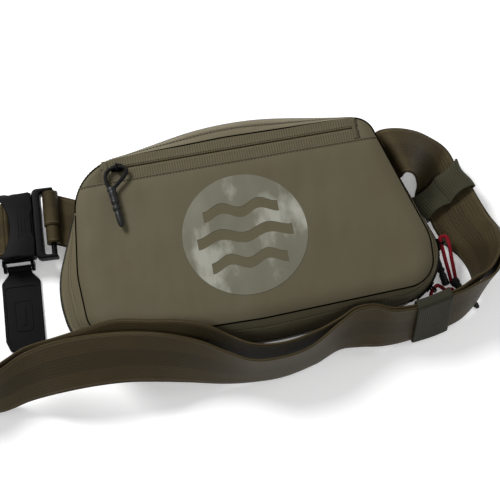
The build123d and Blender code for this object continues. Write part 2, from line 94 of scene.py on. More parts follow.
world = bpy.data.worlds.new("studio")
bpy.context.scene.world = world
world.use_nodes = True
world.node_tree.nodes["Background"].inputs["Color"].default_value = (1, 1, 1, 1)
world.node_tree.nodes["Background"].inputs["Strength"].default_value = 0.36


# ================= materials =================


class Look:
    """A principled material, with short ways to add the nodes that vary it."""

    def __init__(self, name, color, rough, **sockets):
        self.material = bpy.data.materials.new(name)
        self.material.use_nodes = True
        self.tree = self.material.node_tree
        self.shader = self.tree.nodes["Principled BSDF"]
        self.set(self.shader, {"Base Color": (*color, 1), "Roughness": rough, **sockets})

    def set(self, node, values):
        for key, value in values.items():
            if isinstance(value, bpy.types.NodeSocket):
                self.tree.links.new(value, node.inputs[key])
            else:
                node.inputs[key].default_value = value

    def add(self, kind, values=None, out=0, **settings):
        node = self.tree.nodes.new("ShaderNode" + kind)
        for key, value in settings.items():
            setattr(node, key, value)
        self.set(node, values or {})
        return node.outputs[out]

    def math(self, operation, *values):
        return self.add("Math", dict(enumerate(values)), operation=operation)

    def uv(self):
        """The two coordinates of the surface, in metres: across and along."""
        split = self.add("SeparateXYZ", {0: self.add("TexCoord", out=2)}).node
        return split.outputs[0], split.outputs[1]

    def place(self, stretch=(1, 1, 1)):
        """The place within the piece, in metres."""
        return self.add("Mapping", {"Vector": self.add("TexCoord", out=3), "Scale": stretch})

    def noise(self, size, detail=2.0, stretch=(1, 1, 1)):
        """Smooth noise whose blobs are about size metres across."""
        place = self.place(stretch)
        return self.add("TexNoise", {"Vector": place, "Scale": 1 / size, "Detail": detail})

    def wave(self, coordinate, pitch):
        """A sine from 0 to 1 that repeats every pitch metres."""
        turn = self.math("MULTIPLY", coordinate, 2 * pi / pitch)
        return self.math("MULTIPLY_ADD", self.math("SINE", turn), 0.5, 0.5)

    def band(self, coordinate, low, high, soft):
        """1 between low and high, falling to 0 over soft metres on each side."""
        rise = self.add("MapRange", {0: coordinate, 1: low - soft, 2: low})
        fall = self.add("MapRange", {0: coordinate, 1: high, 2: high + soft, 3: 1.0, 4: 0.0})
        return self.math("MULTIPLY", rise, fall)

    def mix(self, share, first, second):
        """Two colours mixed; each is three numbers or a socket."""
        node = self.tree.nodes.new("ShaderNodeMix")
        node.data_type = "RGBA"
        ends = [(*c, 1) if isinstance(c, tuple) else c for c in (first, second)]
        self.set(node, {0: share, 6: ends[0], 7: ends[1]})
        return node.outputs[2]

    def spread(self, value, low, high):
        """value from 0 to 1 stretched between low and high."""
        return self.math("MULTIPLY_ADD", value, high - low, low)

    def blend(self, value, low, high, first, second):
        """Two colours mixed by a share that value moves between low and high."""
        return self.mix(self.spread(value, low, high), first, second)

    def paint(self, color, rough=None, height=None, depth=0.0002, strength=1.0):
        """Links the colour, the roughness and a relief as deep as depth to the shader."""
        self.set(self.shader, {"Base Color": color})
        if rough is not None:
            self.set(self.shader, {"Roughness": rough})
        if height is not None:
            bump = self.add("Bump", {"Height": height, "Distance": depth, "Strength": strength})
            self.set(self.shader, {"Normal": bump})
        return self.material


def scaled(color, factor):
    return tuple(c * factor for c in color)


def nylon(name, color, warm, grain=0.00055, sheen=0.06):
    """Plain-woven coated nylon: fine threads both ways, broad warm and cool patches, slight creases."""
    look = Look(name, color, 0.62, **{"Sheen Weight": sheen, "Sheen Roughness": 0.45,
                                      "Sheen Tint": (1.0, 0.85, 0.5, 1.0), "Specular IOR Level": 0.18})
    across, along = look.uv()
    threads = look.math("MULTIPLY", look.wave(across, grain), look.wave(along, grain))
    patches = look.math("SMOOTH_MAX", look.noise(0.07, 3.0), 0.38, 0.1)
    streaks = look.noise(0.012, 3.0, stretch=(1, 0.25, 1))
    tone = look.blend(patches, -0.6, 1.6, color, warm)
    tone = look.blend(streaks, 0.0, 0.35, tone, scaled(color, 0.8))
    tone = look.blend(threads, 0.0, 0.22, tone, scaled(color, 1.5))
    creases = look.noise(0.022, 4.0)
    height = look.math("MULTIPLY_ADD", creases, 3.0, look.math("MULTIPLY", threads, 0.35))
    return look.paint(tone, look.spread(streaks, 0.52, 0.74), height, 0.00022, 0.55)


WEB_WIDE = 0.050
WEB_RIB = 0.0016
STRIPE = (0.0175, 0.0325)
# painted highlight: a pale line just inside each selvage, as distances across the webbing
SELVAGE_HIGHLIGHT_LINES = ((0.0022, 0.0030), (0.0470, 0.0478))


def webbing(name, color, dark, pale):
    """Heavy webbing: chevron weave, a darker stripe down the middle, and a painted highlight as a paler line
    beside each edge.
    """
    look = Look(name, color, 0.42, **{"Specular IOR Level": 0.22, "Specular Tint": (1.0, 0.8, 0.5, 1)})
    across, along = look.uv()
    across = look.math("PINGPONG", across, WEB_WIDE + 0.0002)
    columns = look.math("PINGPONG", across, WEB_RIB)
    threads = look.wave(look.math("MULTIPLY_ADD", columns, 0.8, along), 0.0013)
    cords = look.wave(across, WEB_RIB)
    stripe = look.band(across, *STRIPE, 0.0015)
    edges = look.math("ADD", *[look.band(across, *line, 0.0005) for line in SELVAGE_HIGHLIGHT_LINES])
    patches = look.noise(0.05, 3.0)
    tone = look.blend(stripe, 0.0, 0.5, color, dark)
    tone = look.blend(edges, 0.0, 0.6, tone, pale)
    tone = look.blend(threads, 0.0, 0.38, tone, scaled(dark, 0.6))
    tone = look.blend(patches, -0.2, 0.5, tone, scaled(dark, 0.8))
    height = look.math("MULTIPLY_ADD", threads, 1.0, look.math("MULTIPLY", cords, 0.6))
    return look.paint(tone, look.spread(threads, 0.36, 0.5), height, 0.00028, 0.7)


def ribbed(name, color, pitch, along_ribs):
    """Woven tape or elastic with ribs across it, or along it."""
    look = Look(name, color, 0.7, **{"Sheen Weight": 0.06, "Specular IOR Level": 0.16})
    across, along = look.uv()
    ribs = look.wave(across if along_ribs else along, pitch)
    fine = look.wave(along if along_ribs else across, pitch * 0.45)
    wear = look.noise(0.008, 4.0)
    # painted shade: the colour follows the ribs, darker in the grooves between them and lighter on their
    # crowns
    tone = look.blend(ribs, 0.0, 0.55, scaled(color, 0.62), scaled(color, 1.35))
    tone = look.blend(wear, 0.0, 0.3, tone, scaled(color, 0.55))
    height = look.math("MULTIPLY_ADD", fine, 0.35, ribs)
    return look.paint(tone, look.spread(wear, 0.6, 0.8), height, 0.00035, 0.7)


def moulded(name, color, rough, grain=0.0006, wear=1.9, **sockets):
    """Moulded plastic, rubber or enamel: fine grain, handling marks and slightly paler worn patches."""
    look = Look(name, color, rough, **{"Specular IOR Level": 0.05, **sockets})
    fine = look.noise(grain, 2.0)
    marks = look.noise(0.006, 5.0, stretch=(1, 3.5, 1))
    tone = look.blend(marks, -0.25, 0.75, color, scaled(color, wear))
    return look.paint(tone, look.spread(marks, rough - 0.1, rough + 0.12), fine, 0.00006, 0.35)


def braided(name, color, strands):
    """Braided cord: strands crossing both ways round it.  A curve's own coordinates run along and round."""
    look = Look(name, color, 0.55, **{"Specular IOR Level": 0.12})
    along, around = look.uv()
    one = look.wave(look.math("MULTIPLY_ADD", along, strands, around), 0.5)
    two = look.wave(look.math("MULTIPLY_ADD", along, -strands, around), 0.5)
    height = look.math("MAXIMUM", one, two)
    # painted shade: the colour follows the relief, so the grooves between the strands are darkest and their
    # crowns lightest
    tone = look.mix(height, scaled(color, 0.35), scaled(color, 1.25))
    return look.paint(tone, None, height, 0.0004, 0.8)


def film(name, color, pale):
    """Reflective film, with paler scuffs and a slight grain."""
    look = Look(name, color, 0.4, **{"Metallic": 0.25, "Specular IOR Level": 0.5, "Coat Weight": 0.15})
    scuffs = look.noise(0.022, 6.0, stretch=(1, 0.55, 1))
    fine = look.noise(0.0014, 3.0)
    sharp = look.add("MapRange", {0: scuffs, 1: 0.5, 2: 0.66})
    tone = look.mix(look.math("MULTIPLY", sharp, look.spread(fine, 0.45, 1.0)), color, pale)
    tone = look.blend(fine, 0.0, 0.3, tone, scaled(color, 0.6))
    return look.paint(tone, look.spread(scuffs, 0.28, 0.6), fine, 0.00008, 0.4)


def air_mesh(name, color):
    """Spacer mesh: rows of small round holes, darker inside."""
    look = Look(name, color, 0.85, **{"Sheen Weight": 0.15})
    cells = look.add("TexVoronoi", {"Vector": look.place(), "Scale": 1 / 0.0026, "Randomness": 0.15})
    rim = look.add("MapRange", {0: cells, 1: 0.22, 2: 0.42})
    tone = look.mix(rim, scaled(color, 0.25), look.mix(look.noise(0.03, 3.0), color, scaled(color, 1.5)))
    return look.paint(tone, None, rim, 0.0006, 0.9)


OLIVE = (0.0850, 0.0765, 0.0442)
OLIVE_WARM = (0.0785, 0.0630, 0.0362)
# painted light: the gussets get a lighter copy of the olive nylon, which brightens their walls where they
# turn away from the lamps
OLIVE_GUSSET_PAINTED_LIGHT = (0.097, 0.088, 0.052)
OLIVE_GUSSET_WARM_PAINTED_LIGHT = (0.09, 0.074, 0.0435)
BELT = (0.0435, 0.0325, 0.0150)
BLACK = (0.0035, 0.0035, 0.004)
LOOKS = {
    "nylon_shell": nylon("olive_nylon", OLIVE, OLIVE_WARM),
    "gusset_painted_light": nylon("olive_nylon_painted_lighter", OLIVE_GUSSET_PAINTED_LIGHT, OLIVE_GUSSET_WARM_PAINTED_LIGHT, sheen=0.16),
    "lining": nylon("pale_lining", (0.144, 0.144, 0.13), (0.122, 0.122, 0.115), 0.0004, 0.1),
    "padded_back": air_mesh("back_air_mesh", (0.036, 0.0346, 0.0259)),
    "webbing": webbing("olive_webbing", BELT, (0.0165, 0.0128, 0.0066), (0.095, 0.077, 0.045)),
    "elastic": ribbed("ribbed_elastic", (0.045, 0.043, 0.0225), 0.0024, True),
    "elastic_across": ribbed("ribbed_elastic_across", (0.027, 0.0255, 0.0138), 0.0019, False),
    "zipper_tape": ribbed("zipper_tape", (0.105, 0.091, 0.053), 0.0023, True),
    "front_coil": moulded("covered_coil", (0.085, 0.073, 0.042), 0.6),
    "zipper_coil": moulded("black_coil", (0.0144, 0.0144, 0.013), 0.4),
    "slider_metal": moulded("black_enamel", BLACK, 0.32, Metallic=0.3),
    "buckle_plastic": moulded("black_acetal", BLACK, 0.38),
    "grip_rubber": moulded("grip_rubber", (0.0045, 0.0045, 0.005), 0.45, **{"Specular IOR Level": 0.3}),
    "tab_rubber": moulded("tab_rubber", (0.0055, 0.0055, 0.0055), 0.6, 0.0009, 1.6),
    "pin_steel": moulded("pin_steel", (0.252, 0.252, 0.259), 0.35, Metallic=1.0),
    "cord_black": braided("black_braid", (0.0055, 0.0055, 0.006), 26),
    "cord_red": braided("red_braid", (0.259, 0.00864, 0.018), 36),
    "emblem_film": film("reflective_film", (0.133, 0.128, 0.09), (0.36, 0.36, 0.31)),
    "thread": ribbed("sewing_thread", (0.122, 0.112, 0.072), 0.0006, True),
    # painted shade: thread_shade is the sewing thread darkened for stitch rows that sit in shade along the
    # seams, the tapes and the garages
    "thread_shade": ribbed("shaded_sewing_thread", (0.03, 0.026, 0.015), 0.0006, True),
    # painted shade: seam_shade is a near-black stand-in for the shadow in the seam grooves and below the fold
    "seam_shade": ribbed("painted_seam_shade", (0.0158, 0.0137, 0.00792), 0.0012, False),
    "thread_dark": ribbed("dark_sewing_thread", (0.036, 0.0317, 0.0202), 0.0006, True),
}
SLOTS = {"elastic_across": "elastic", "front_coil": "zipper_coil", "thread_dark": "webbing",
         **dict.fromkeys(("gusset_painted_light", "thread", "thread_shade", "seam_shade"), "nylon_shell")}

floor_look = Look("pale_floor", (0.93, 0.93, 0.93), 0.6,
                  **{"Emission Color": (1, 1, 1, 1), "Emission Strength": 0.24, "Specular IOR Level": 0.0})
floor_look.paint(floor_look.mix(floor_look.noise(0.3), (0.94, 0.94, 0.94), (0.92, 0.92, 0.92)))
floor = link("floor", bpy.data.meshes.new("floor"))
HALF_FLOOR = 4.0
SQUARE = ((-1, -1), (1, -1), (1, 1), (-1, 1))
floor.data.from_pydata([(x * HALF_FLOOR, y * HALF_FLOOR, 0) for x, y in SQUARE], [], [(0, 1, 2, 3)])
floor.data.materials.append(floor_look.material)


def put(obj, look, *nodes, body="pack"):
    """Gives a piece its look, makes it ride on its body and hides the CAD nodes that it stands for."""
    obj.data.materials.clear()
    obj.data.materials.append(LOOKS[look])
    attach(obj, body)
    if nodes:
        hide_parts(*nodes)
    return obj


# ================= cords =================


def free_cord(name, route, thick, look, body, node, exit_index, **facts):
    """A cord on one smooth curve through its route, in millimetres."""
    curve = bpy.data.curves.new(name, "CURVE")
    curve.dimensions = "3D"
    curve.bevel_depth = thick / 2 * MM
    curve.bevel_resolution = 5
    curve.resolution_u = 10
    curve.use_fill_caps = True
    spline = curve.splines.new("NURBS")
    spline.points.add(len(route) - 1)
    for point, place in zip(spline.points, route):
        point.co = (*(Vector(place) * MM), 1)
    spline.order_u = 3
    spline.use_endpoint_u = True
    obj = put(link(name, curve), look, node, body=body)
    return obj


FRONT_BAIL_Z = 58.4
front_pull_route = [
    (-115.3, 51.7, 62.8), (-117.6, 60, 61.6), (-117.0, 67.5, 59.8), (-111.5, 72.5, FRONT_BAIL_Z),
    (-101.0, 72.5, FRONT_BAIL_Z), (-96.2, 67.5, 59.8), (-101.4, 60, 61.6), (-111.5, 51.4, 62.8),
]
red_cord_a_route = [
    (178.9, -75.3, 5.2), (178.2, -66, 7.8), (176.6, -56, 12.5), (175.2, -47, 18.2), (174.7, -40.5, 19.6),
    (174.3, -34.8, 19.8), (181.2, -34.4, 19.8), (182.2, -43, 18.6), (182.4, -54, 13.5), (183.2, -64, 8.5),
    (183.4, -72.9, 5.2),
]
red_cord_b_route = [
    (171.0, -81.6, 6.2), (166.8, -79.2, 12), (161.9, -78.1, 18.4), (153.9, -85.9, 19.8),
    (155.2, -92.8, 19.4), (162.4, -91.8, 17.5), (168, -88.2, 12), (171.8, -85.8, 6.2),
]


# ================= shapes =================


def smooth(mesh):
    mesh.polygons.foreach_set("use_smooth", [True] * len(mesh.polygons))


def mesh_object(name, points, faces, uvs):
    """A smooth-shaded mesh; uvs holds one pair for each corner of each face, in metres."""
    mesh = bpy.data.meshes.new(name)
    mesh.from_pydata([tuple(p) for p in points], [], faces)
    smooth(mesh)
    mesh.uv_layers.new(name="UVMap").data.foreach_set("uv", np.asarray(uvs, float).ravel())
    mesh.update()
    return link(name, mesh)


def lengths(points):
    """Distance along a line of points at each of them."""
    steps = np.linalg.norm(np.diff(points, axis=0), axis=1)
    return np.concatenate([[0], np.cumsum(steps)])


def unit(vectors):
    """A vector, or each of several, at a length of 1."""
    return vectors / np.linalg.norm(vectors, axis=-1, keepdims=True)


def read_at(at, places, values):
    """Rows of values, known at places along a line, read at other places along it."""
    return np.column_stack([np.interp(at, places, column) for column in np.transpose(values)])


def raised(points, z):
    """Points of a plan with a height: one for all of them, or one for each."""
    return np.column_stack([points, np.broadcast_to(z, len(points))])


def open_run(ring_points, keep):
    """The kept points of a closed ring as one run, which starts after the gap."""
    kept = np.flatnonzero(keep)
    first = kept[np.flatnonzero(np.diff(kept, prepend=kept[-1] - len(ring_points)) > 1)[0]]
    return np.roll(ring_points, -first, axis=0)[:len(kept)]


def thicken(obj, thick, offset=-1):
    """Gives a sheet a thickness: inwards, or to both sides with an offset of 0."""
    shell = obj.modifiers.new("thickness", "SOLIDIFY")
    shell.thickness, shell.offset = thick, offset
    return obj


def grid(name, rows, wrap=False, flat=False, caps=False):
    """A sheet through rows of points.  wrap joins each row's end to its start, flat takes its coordinates
    from x and y, and caps closes a wrapped sheet's two ends."""
    rows = np.asarray(rows, float)
    count, around = rows.shape[:2]
    i, j = np.mgrid[:count - 1, :around if wrap else around - 1].reshape(2, -1)
    k = (j + 1) % around
    row_at, column_at = np.array([i, i, i + 1, i + 1]), np.array([j, k, k, j])
    faces = (row_at * around + column_at).T.tolist()
    if flat:
        uvs = rows[row_at, column_at, :2]
    else:
        middle = rows[count // 2]
        u = lengths(np.vstack([middle, middle[:1]]))
        v = lengths(rows[:, around // 4])
        uvs = np.stack([u[np.array([j, j + 1, j + 1, j])], v[row_at]], axis=-1)
    uvs = uvs.transpose(1, 0, 2).reshape(-1, 2)
    for end, order in ((0, -1), (count - 1, 1)) if caps else ():
        rim = np.arange(around)[::order]
        faces.append((end * around + rim).tolist())
        uvs = np.vstack([uvs, rows[end, rim, :2]])
    return mesh_object(name, rows.reshape(-1, 3), faces, uvs)


def tube(name, line, radius, normals=UP, flat=1.0, sides=8):
    """A tube round a line of points; radius is one number or one for each point."""
    line = np.asarray(line, float)
    along = unit(np.gradient(line, axis=0))
    side = unit(np.cross(along, np.broadcast_to(normals, line.shape)))
    up = np.cross(side, along)
    radius = np.broadcast_to(radius, len(line))
    turn = np.arange(sides) * 2 * pi / sides
    rows = [p + r * (np.outer(np.cos(turn), s) + np.outer(np.sin(turn), n) * flat)
            for p, s, n, r in zip(line, side, up, radius)]
    return grid(name, rows, wrap=True, caps=True)


def resample(line, step, closed=False):
    """The same line with points about step apart."""
    line = np.asarray(line, float)
    if closed:
        line = np.vstack([line, line[:1]])
    along = lengths(line)
    at = np.linspace(0, along[-1], max(2, int(round(along[-1] / step)) + 1))
    return read_at(at, along, line)


STITCH_SHOULDERS = np.array([-1, -0.62, 0.62, 1]) / 2
STITCH_SINK, STITCH_LIFT = 0.05 * MM, 0.08 * MM


def stitches(name, line, normals, look="thread", pitch=3.2, long=2.3, radius=0.22):
    """A row of sewn stitches along a line, standing on a surface with those normals (millimetres)."""
    line, normals = np.asarray(line, float), np.broadcast_to(normals, np.shape(line))
    along = lengths(line) / MM
    points, faces, uvs = [], [], []
    for k in range(int(along[-1] / pitch)):
        middle = (k + 0.5) * pitch
        at = read_at(middle + STITCH_SHOULDERS * long, along, line)
        n = unit(read_at([middle], along, normals)[0])
        s = unit(np.cross(at[3] - at[0], n))
        base = len(points)
        points.append(at[0] - n * STITCH_SINK)
        for p in at[1:3]:
            points += [p + way * radius * MM for way in (s, n, -s, -n)]
        points.append(at[3] - n * STITCH_SINK)
        for q in range(4):
            r = (q + 1) % 4
            faces += [(base, base + 1 + r, base + 1 + q),
                      (base + 1 + q, base + 1 + r, base + 5 + r, base + 5 + q),
                      (base + 9, base + 5 + q, base + 5 + r)]
            uvs += [(0, middle * MM)] * 10
    return put(mesh_object(name, points, faces, uvs), look)


def filled(name, loops, **settings):
    """The area inside the first loop and outside the others, as the mesh of a curve with those settings."""
    curve = bpy.data.curves.new(name, "CURVE")
    for key, value in {"dimensions": "2D", "fill_mode": "BOTH", **settings}.items():
        setattr(curve, key, value)
    for loop in loops:
        spline = curve.splines.new("POLY")
        spline.points.add(len(loop) - 1)
        for point, place in zip(spline.points, loop):
            point.co = (*place, 0, 1)
        spline.use_cyclic_u = True
    return bpy.data.meshes.new_from_object(bpy.data.objects.new(name + "_line", curve))


def written(name, work, mesh):
    """An edited mesh as a smooth-shaded piece."""
    work.to_mesh(mesh)
    work.free()
    smooth(mesh)
    mesh.name = name
    return link(name, mesh)


SHARP = radians(38)


def plate(name, loops, low, high, bevel, matrix=Matrix(), steps=3):
    """A flat piece with rounded edges, in millimetres: the first loop is its outline, the others holes."""
    mesh = filled(name, loops, extrude=(high - low) / 2 - bevel, bevel_depth=bevel, bevel_resolution=steps,
                  offset=-bevel)
    mesh.transform(Matrix.Scale(MM, 4) @ matrix @ Matrix.Translation((0, 0, (low + high) / 2)))
    work = bmesh.new()
    work.from_mesh(mesh)
    bmesh.ops.remove_doubles(work, verts=work.verts, dist=1e-6)
    bmesh.ops.recalc_face_normals(work, faces=work.faces)
    made = written(name, work, mesh)
    mesh.set_sharp_from_angle(angle=SHARP)
    return made


def joined(name, *parts):
    """Several meshes as one piece."""
    work = bmesh.new()
    for part in parts:
        work.from_mesh(part.data)
        bpy.data.objects.remove(part)
    made = written(name, work, bpy.data.meshes.new(name))
    made.data.set_sharp_from_angle(angle=SHARP)
    return made


def rounded(points, radii, arc, run=1):
    """A closed outline with rounded corners; arc points round each corner, run points on each side."""
    points = [np.array(p, float) for p in points]
    radii = np.broadcast_to(radii, len(points))
    made, starts, ends = [], [], []
    for before, here, after, radius in zip(points[-1:] + points[:-1], points, points[1:] + points[:1], radii):
        back, on = unit(before - here), unit(after - here)
        half = np.arccos(np.clip(back @ on, -1, 1)) / 2
        reach = radius / tan(half)
        start, end = here + back * reach, here + on * reach
        centre = here + unit(back + on) * radius / sin(half)
        a, b = start - centre, end - centre
        turn = pi - 2 * half
        starts.append(start)
        ends.append([centre + (a * sin((1 - t) * turn) + b * sin(t * turn)) / sin(turn)
                     for t in np.linspace(0, 1, arc + 1)])
    for i, bend in enumerate(ends):
        made += bend
        ahead = starts[(i + 1) % len(starts)]
        made += [bend[-1] + (ahead - bend[-1]) * t for t in np.linspace(0, 1, run + 1)[1:-1]]
    return np.array(made)


def rectangle(x, y, width, height, radius=0.0):
    """A rectangle about a centre, with rounded corners if radius isn't 0."""
    corners = [(x + i * width / 2, y + j * height / 2) for i, j in SQUARE]
    return rounded(corners, radius, 5) if radius else corners


def circle(x, y, radius, sides):
    turns = np.arange(sides) * 2 * pi / sides
    return np.column_stack([x + radius * np.cos(turns), y + radius * np.sin(turns)])


def ripple(points, size, seed, detail=1):
    """Smooth noise between about -1 and 1 at each point, its blobs about size across in the points' unit."""
    shift = Vector((seed * 7.3, seed * 3.1, seed))
    return np.array([noise.fractal(Vector(p) / size + shift, 1.0, 2.0, detail) for p in points])


# ================= the padded body =================

BACK_TOP, WALL_LOW, WALL_HIGH, SEAM_Z, CROWN_Z = 8.0, 14.0, 25.0, 52.0, 58.0
GUSSET_SPLIT = 43.0
BACK_OUTLINE = [(-132, 78), (0, 104), (127, 84), (164, -40), (156, -80), (5, -96), (-158, -78), (-169, -22)]
WIDE_OUTLINE = [(-137, 88), (0, 114), (129, 92), (171, -42), (161, -89), (5, -104), (-168, -86), (-178, -22)]
SEAM_OUTLINE = [(-145, 82), (-5, 86), (127, 83), (160, -40), (156, -83), (0, -88), (-152, -84), (-156, -20)]
BACK_RADII = [40, 300, 24, 40, 38, 300, 42, 80]
WIDE_RADII = [50, 300, 28, 36, 52, 300, 46, 90]
SEAM_RADII = [48, 300, 20, 50, 27, 300, 30, 100]


def ring(z, inset=0.0):
    """The pack's outline at height z, anticlockwise, moved inwards by inset; millimetres in, metres out."""
    if z <= WALL_LOW:
        share = max(0.0, z) / WALL_LOW
        ends = (BACK_OUTLINE, WIDE_OUTLINE), (BACK_RADII, WIDE_RADII)
    else:
        share = min(1.0, max(0.0, z - WALL_HIGH) / (SEAM_Z - WALL_HIGH)) ** 1.5
        ends = (WIDE_OUTLINE, SEAM_OUTLINE), (WIDE_RADII, SEAM_RADII)
    corners, radii = [np.array(low) + np.subtract(high, low) * share for low, high in ends]
    points = rounded(corners, radii, arc=14, run=24)[::-1]
    return raised(points - outward(points) * inset, z) * MM


def outward(points):
    """Unit normals, pointing out of an anticlockwise closed outline."""
    ahead = np.roll(points, -1, 0) - np.roll(points, 1, 0)
    normals = np.column_stack([ahead[:, 1], -ahead[:, 0]])
    return normals / np.maximum(np.linalg.norm(normals, axis=1), 1e-9)[:, None]


def normals_of(points):
    """Level normals along a ring in space."""
    return raised(outward(points[:, :2]), 0)


def gusset_row(z, low, high, tuck, sag, seed):
    """One level of a gusset: tucked in by tuck towards its two seams, and creased by up to sag between."""
    share = (z - low) / (high - low)
    base = ring(z)
    arch = max(0.0, sin(pi * share))
    crease = sag * (0.5 + 0.5 * ripple(base * (1, 1, 2.2), 0.045, seed, 2)) * arch
    return base - normals_of(base) * (tuck * (1 - arch ** 0.4) + crease)[:, None] * MM


def gusset(name, node, look, low, high, tuck, sag, seed, steps=12, thick=1.2, trim=None):
    """A band of fabric round the pack between two seams; trim keeps what passes a test of y."""
    rows = [gusset_row(z, low, high, tuck, sag, seed) for z in np.linspace(low, high, steps + 1)]
    if trim is not None:
        keep = trim(rows[0][:, 1])
        rows = [open_run(row, keep) for row in rows]
    return put(thicken(grid(name, rows, wrap=trim is None), thick * MM), look, node)


ZIP_END_Y = -90.0
# each strip: its low and high edges, how far it is tucked in, how far it is creased, and its noise's seed
LOWER_STRIP = (WALL_HIGH, GUSSET_SPLIT - 0.1, 1.3, 1.6, 3)
UPPER_STRIP = (GUSSET_SPLIT + 0.1, SEAM_Z, 1.0, 0.6, 5)
# both gusset strips wear the lighter copy of the nylon, which paints light on walls that turn away from the
# lamps
gusset("gusset_lower_strip", "gusset_wide_strip", "gusset_painted_light", *LOWER_STRIP)
gusset("gusset_upper_strip", "gusset_narrow_strip", "gusset_painted_light", *UPPER_STRIP, steps=8)
for stitch_name, stitch_z, strip, thread in (
        ("stitches_lower_strip_top", GUSSET_SPLIT - 1.8, LOWER_STRIP, "thread_shade"),
        ("stitches_lower_strip_foot", WALL_HIGH + 2.2, LOWER_STRIP, "thread"),
        ("stitches_upper_strip", GUSSET_SPLIT + 1.8, UPPER_STRIP, "thread_shade")):
    seam_run = gusset_row(stitch_z, *strip)
    closed_run = np.vstack([seam_run, seam_run[:1]])
    seam_out = normals_of(closed_run)
    stitches(stitch_name, closed_run + seam_out * STITCH_LIFT, seam_out, thread)
# painted shadow: near-black tubes along the front seam, and along the gussets' split at the top, stand in for
# the shadow in those grooves
seam_shadow_ring, split_shadow_ring = ring(SEAM_Z + 0.35, 0.3), ring(GUSSET_SPLIT, 0.95)
SPLIT_SHADOW_Y = 62 * MM
for shadow_name, shadow_run, shadow_radius in (
        ("painted_shadow_seam_front", np.vstack([seam_shadow_ring, seam_shadow_ring[:2]]), 0.7),
        ("painted_shadow_seam_split", open_run(split_shadow_ring, split_shadow_ring[:, 1] > SPLIT_SHADOW_Y), 0.4)):
    put(tube(shadow_name, shadow_run, shadow_radius * MM, normals_of(shadow_run), sides=6), "seam_shade")
gusset("rear_gusset_fabric", "rear_gusset", "nylon_shell", BACK_TOP - 0.3, WALL_LOW, tuck=0.8, sag=0.4,
       seed=7, steps=6)
REAR_TAPE_EDGE, FRONT_TAPE_EDGE = 17.3, 21.9
for tape_end, tape_low, tape_high, seed in (("rear", WALL_LOW, REAR_TAPE_EDGE, 8),
                                            ("front", FRONT_TAPE_EDGE, WALL_HIGH, 9)):
    gusset(f"zipper_tape_{tape_end}", f"main_zipper_tape_{tape_end}", "zipper_tape", tape_low, tape_high,
           tuck=0.1, sag=0.0, seed=seed, steps=3, thick=0.9, trim=lambda y: y > ZIP_END_Y * MM)
gusset("bottom_hinge", "bottom_hinge_gusset", "nylon_shell", WALL_LOW + 0.1, WALL_HIGH - 0.1, tuck=0.4,
       sag=0.5, seed=10, steps=6, trim=lambda y: y <= (ZIP_END_Y - 0.4) * MM)


def coil(name, node, look, line, normals, radius, pitch, flat=1.0):
    """A row of zipper coil: a bar whose teeth stand out at every pitch."""
    fine = resample(np.hstack([line, np.broadcast_to(normals, line.shape)]), pitch / 4)
    teeth = np.abs(np.sin(lengths(fine[:, :3]) * pi / pitch)) ** 0.7
    put(tube(name, fine[:, :3], radius * (0.55 + 0.45 * teeth), fine[:, 3:], flat, sides=6), look, node)


COIL_PROUD = 0.7
for coil_end, coil_z in (("rear", 18.35), ("front", 20.85)):
    run = ring(coil_z, -COIL_PROUD)
    run = open_run(run, run[:, 1] > ZIP_END_Y * MM)
    coil(f"coil_{coil_end}", f"main_zipper_coil_{coil_end}", "zipper_coil", run, normals_of(run),
         radius=1.5 * MM, pitch=2.2 * MM)

# ---- front panel: the main sheet below the zipper, and a bed for the zipper above it ----
ZIP_Y, ZIP_LEFT, ZIP_RIGHT = 72.5, -121.0, 117.0
FOLD_Y = 60.8
TAPE_TOP = 54.0
seam = ring(SEAM_Z) / MM


def edge_distance(points):
    """How far inside the front panel's seam each point lies, in millimetres."""
    a, b = seam[:, :2], np.roll(seam[:, :2], -1, 0)
    best = np.full(len(points), np.inf)
    for p, q in zip(a, b):
        along = q - p
        share = np.clip(((points - p) @ along) / max(along @ along, 1e-9), 0, 1)
        best = np.minimum(best, np.linalg.norm(points - p - share[:, None] * along, axis=1))
    return best


def rise(distance, reach):
    """0 at a seam, rounding over to 1 at reach from it."""
    return 1 - (1 - np.clip(distance / reach, 0, 1)) ** 2.4


CROWN_REACH, FOLD_REACH = 17, 20     # how far in from a seam, and from the fold, the panel is fully up
LEVEL_Z, FOLD_Z = CROWN_Z - 0.5, TAPE_TOP + 1.0


def panel_height(points):
    """Height of the front panel over points in millimetres: crowned from its seams, with soft creases."""
    points = np.asarray(points, float)
    from_seam = SEAM_Z + (LEVEL_Z - SEAM_Z) * rise(edge_distance(points), CROWN_REACH)
    from_fold = FOLD_Z + (LEVEL_Z - FOLD_Z) * rise(FOLD_Y - points[:, 1], FOLD_REACH)
    gap = from_seam - from_fold
    base = from_fold + gap / 2 - np.sqrt(gap ** 2 / 4 + 0.15)
    flat = raised(points, 0)
    soft = ripple(flat * (0.8, 1.15, 1), 62, 11, 1) * 1.5 + ripple(flat * (1, 0.55, 1), 21, 12, 2) * 0.55
    inside = np.clip((base - SEAM_Z) / (CROWN_Z - SEAM_Z), 0, 1)
    return np.minimum(base + soft * inside, CROWN_Z + 0.25)


def on_panel(points, lift=0.0):
    """Points of a plan laid on the front panel, or a little above it, in millimetres."""
    return raised(points, panel_height(points) + lift)


LONGEST_EDGE = 6 * MM


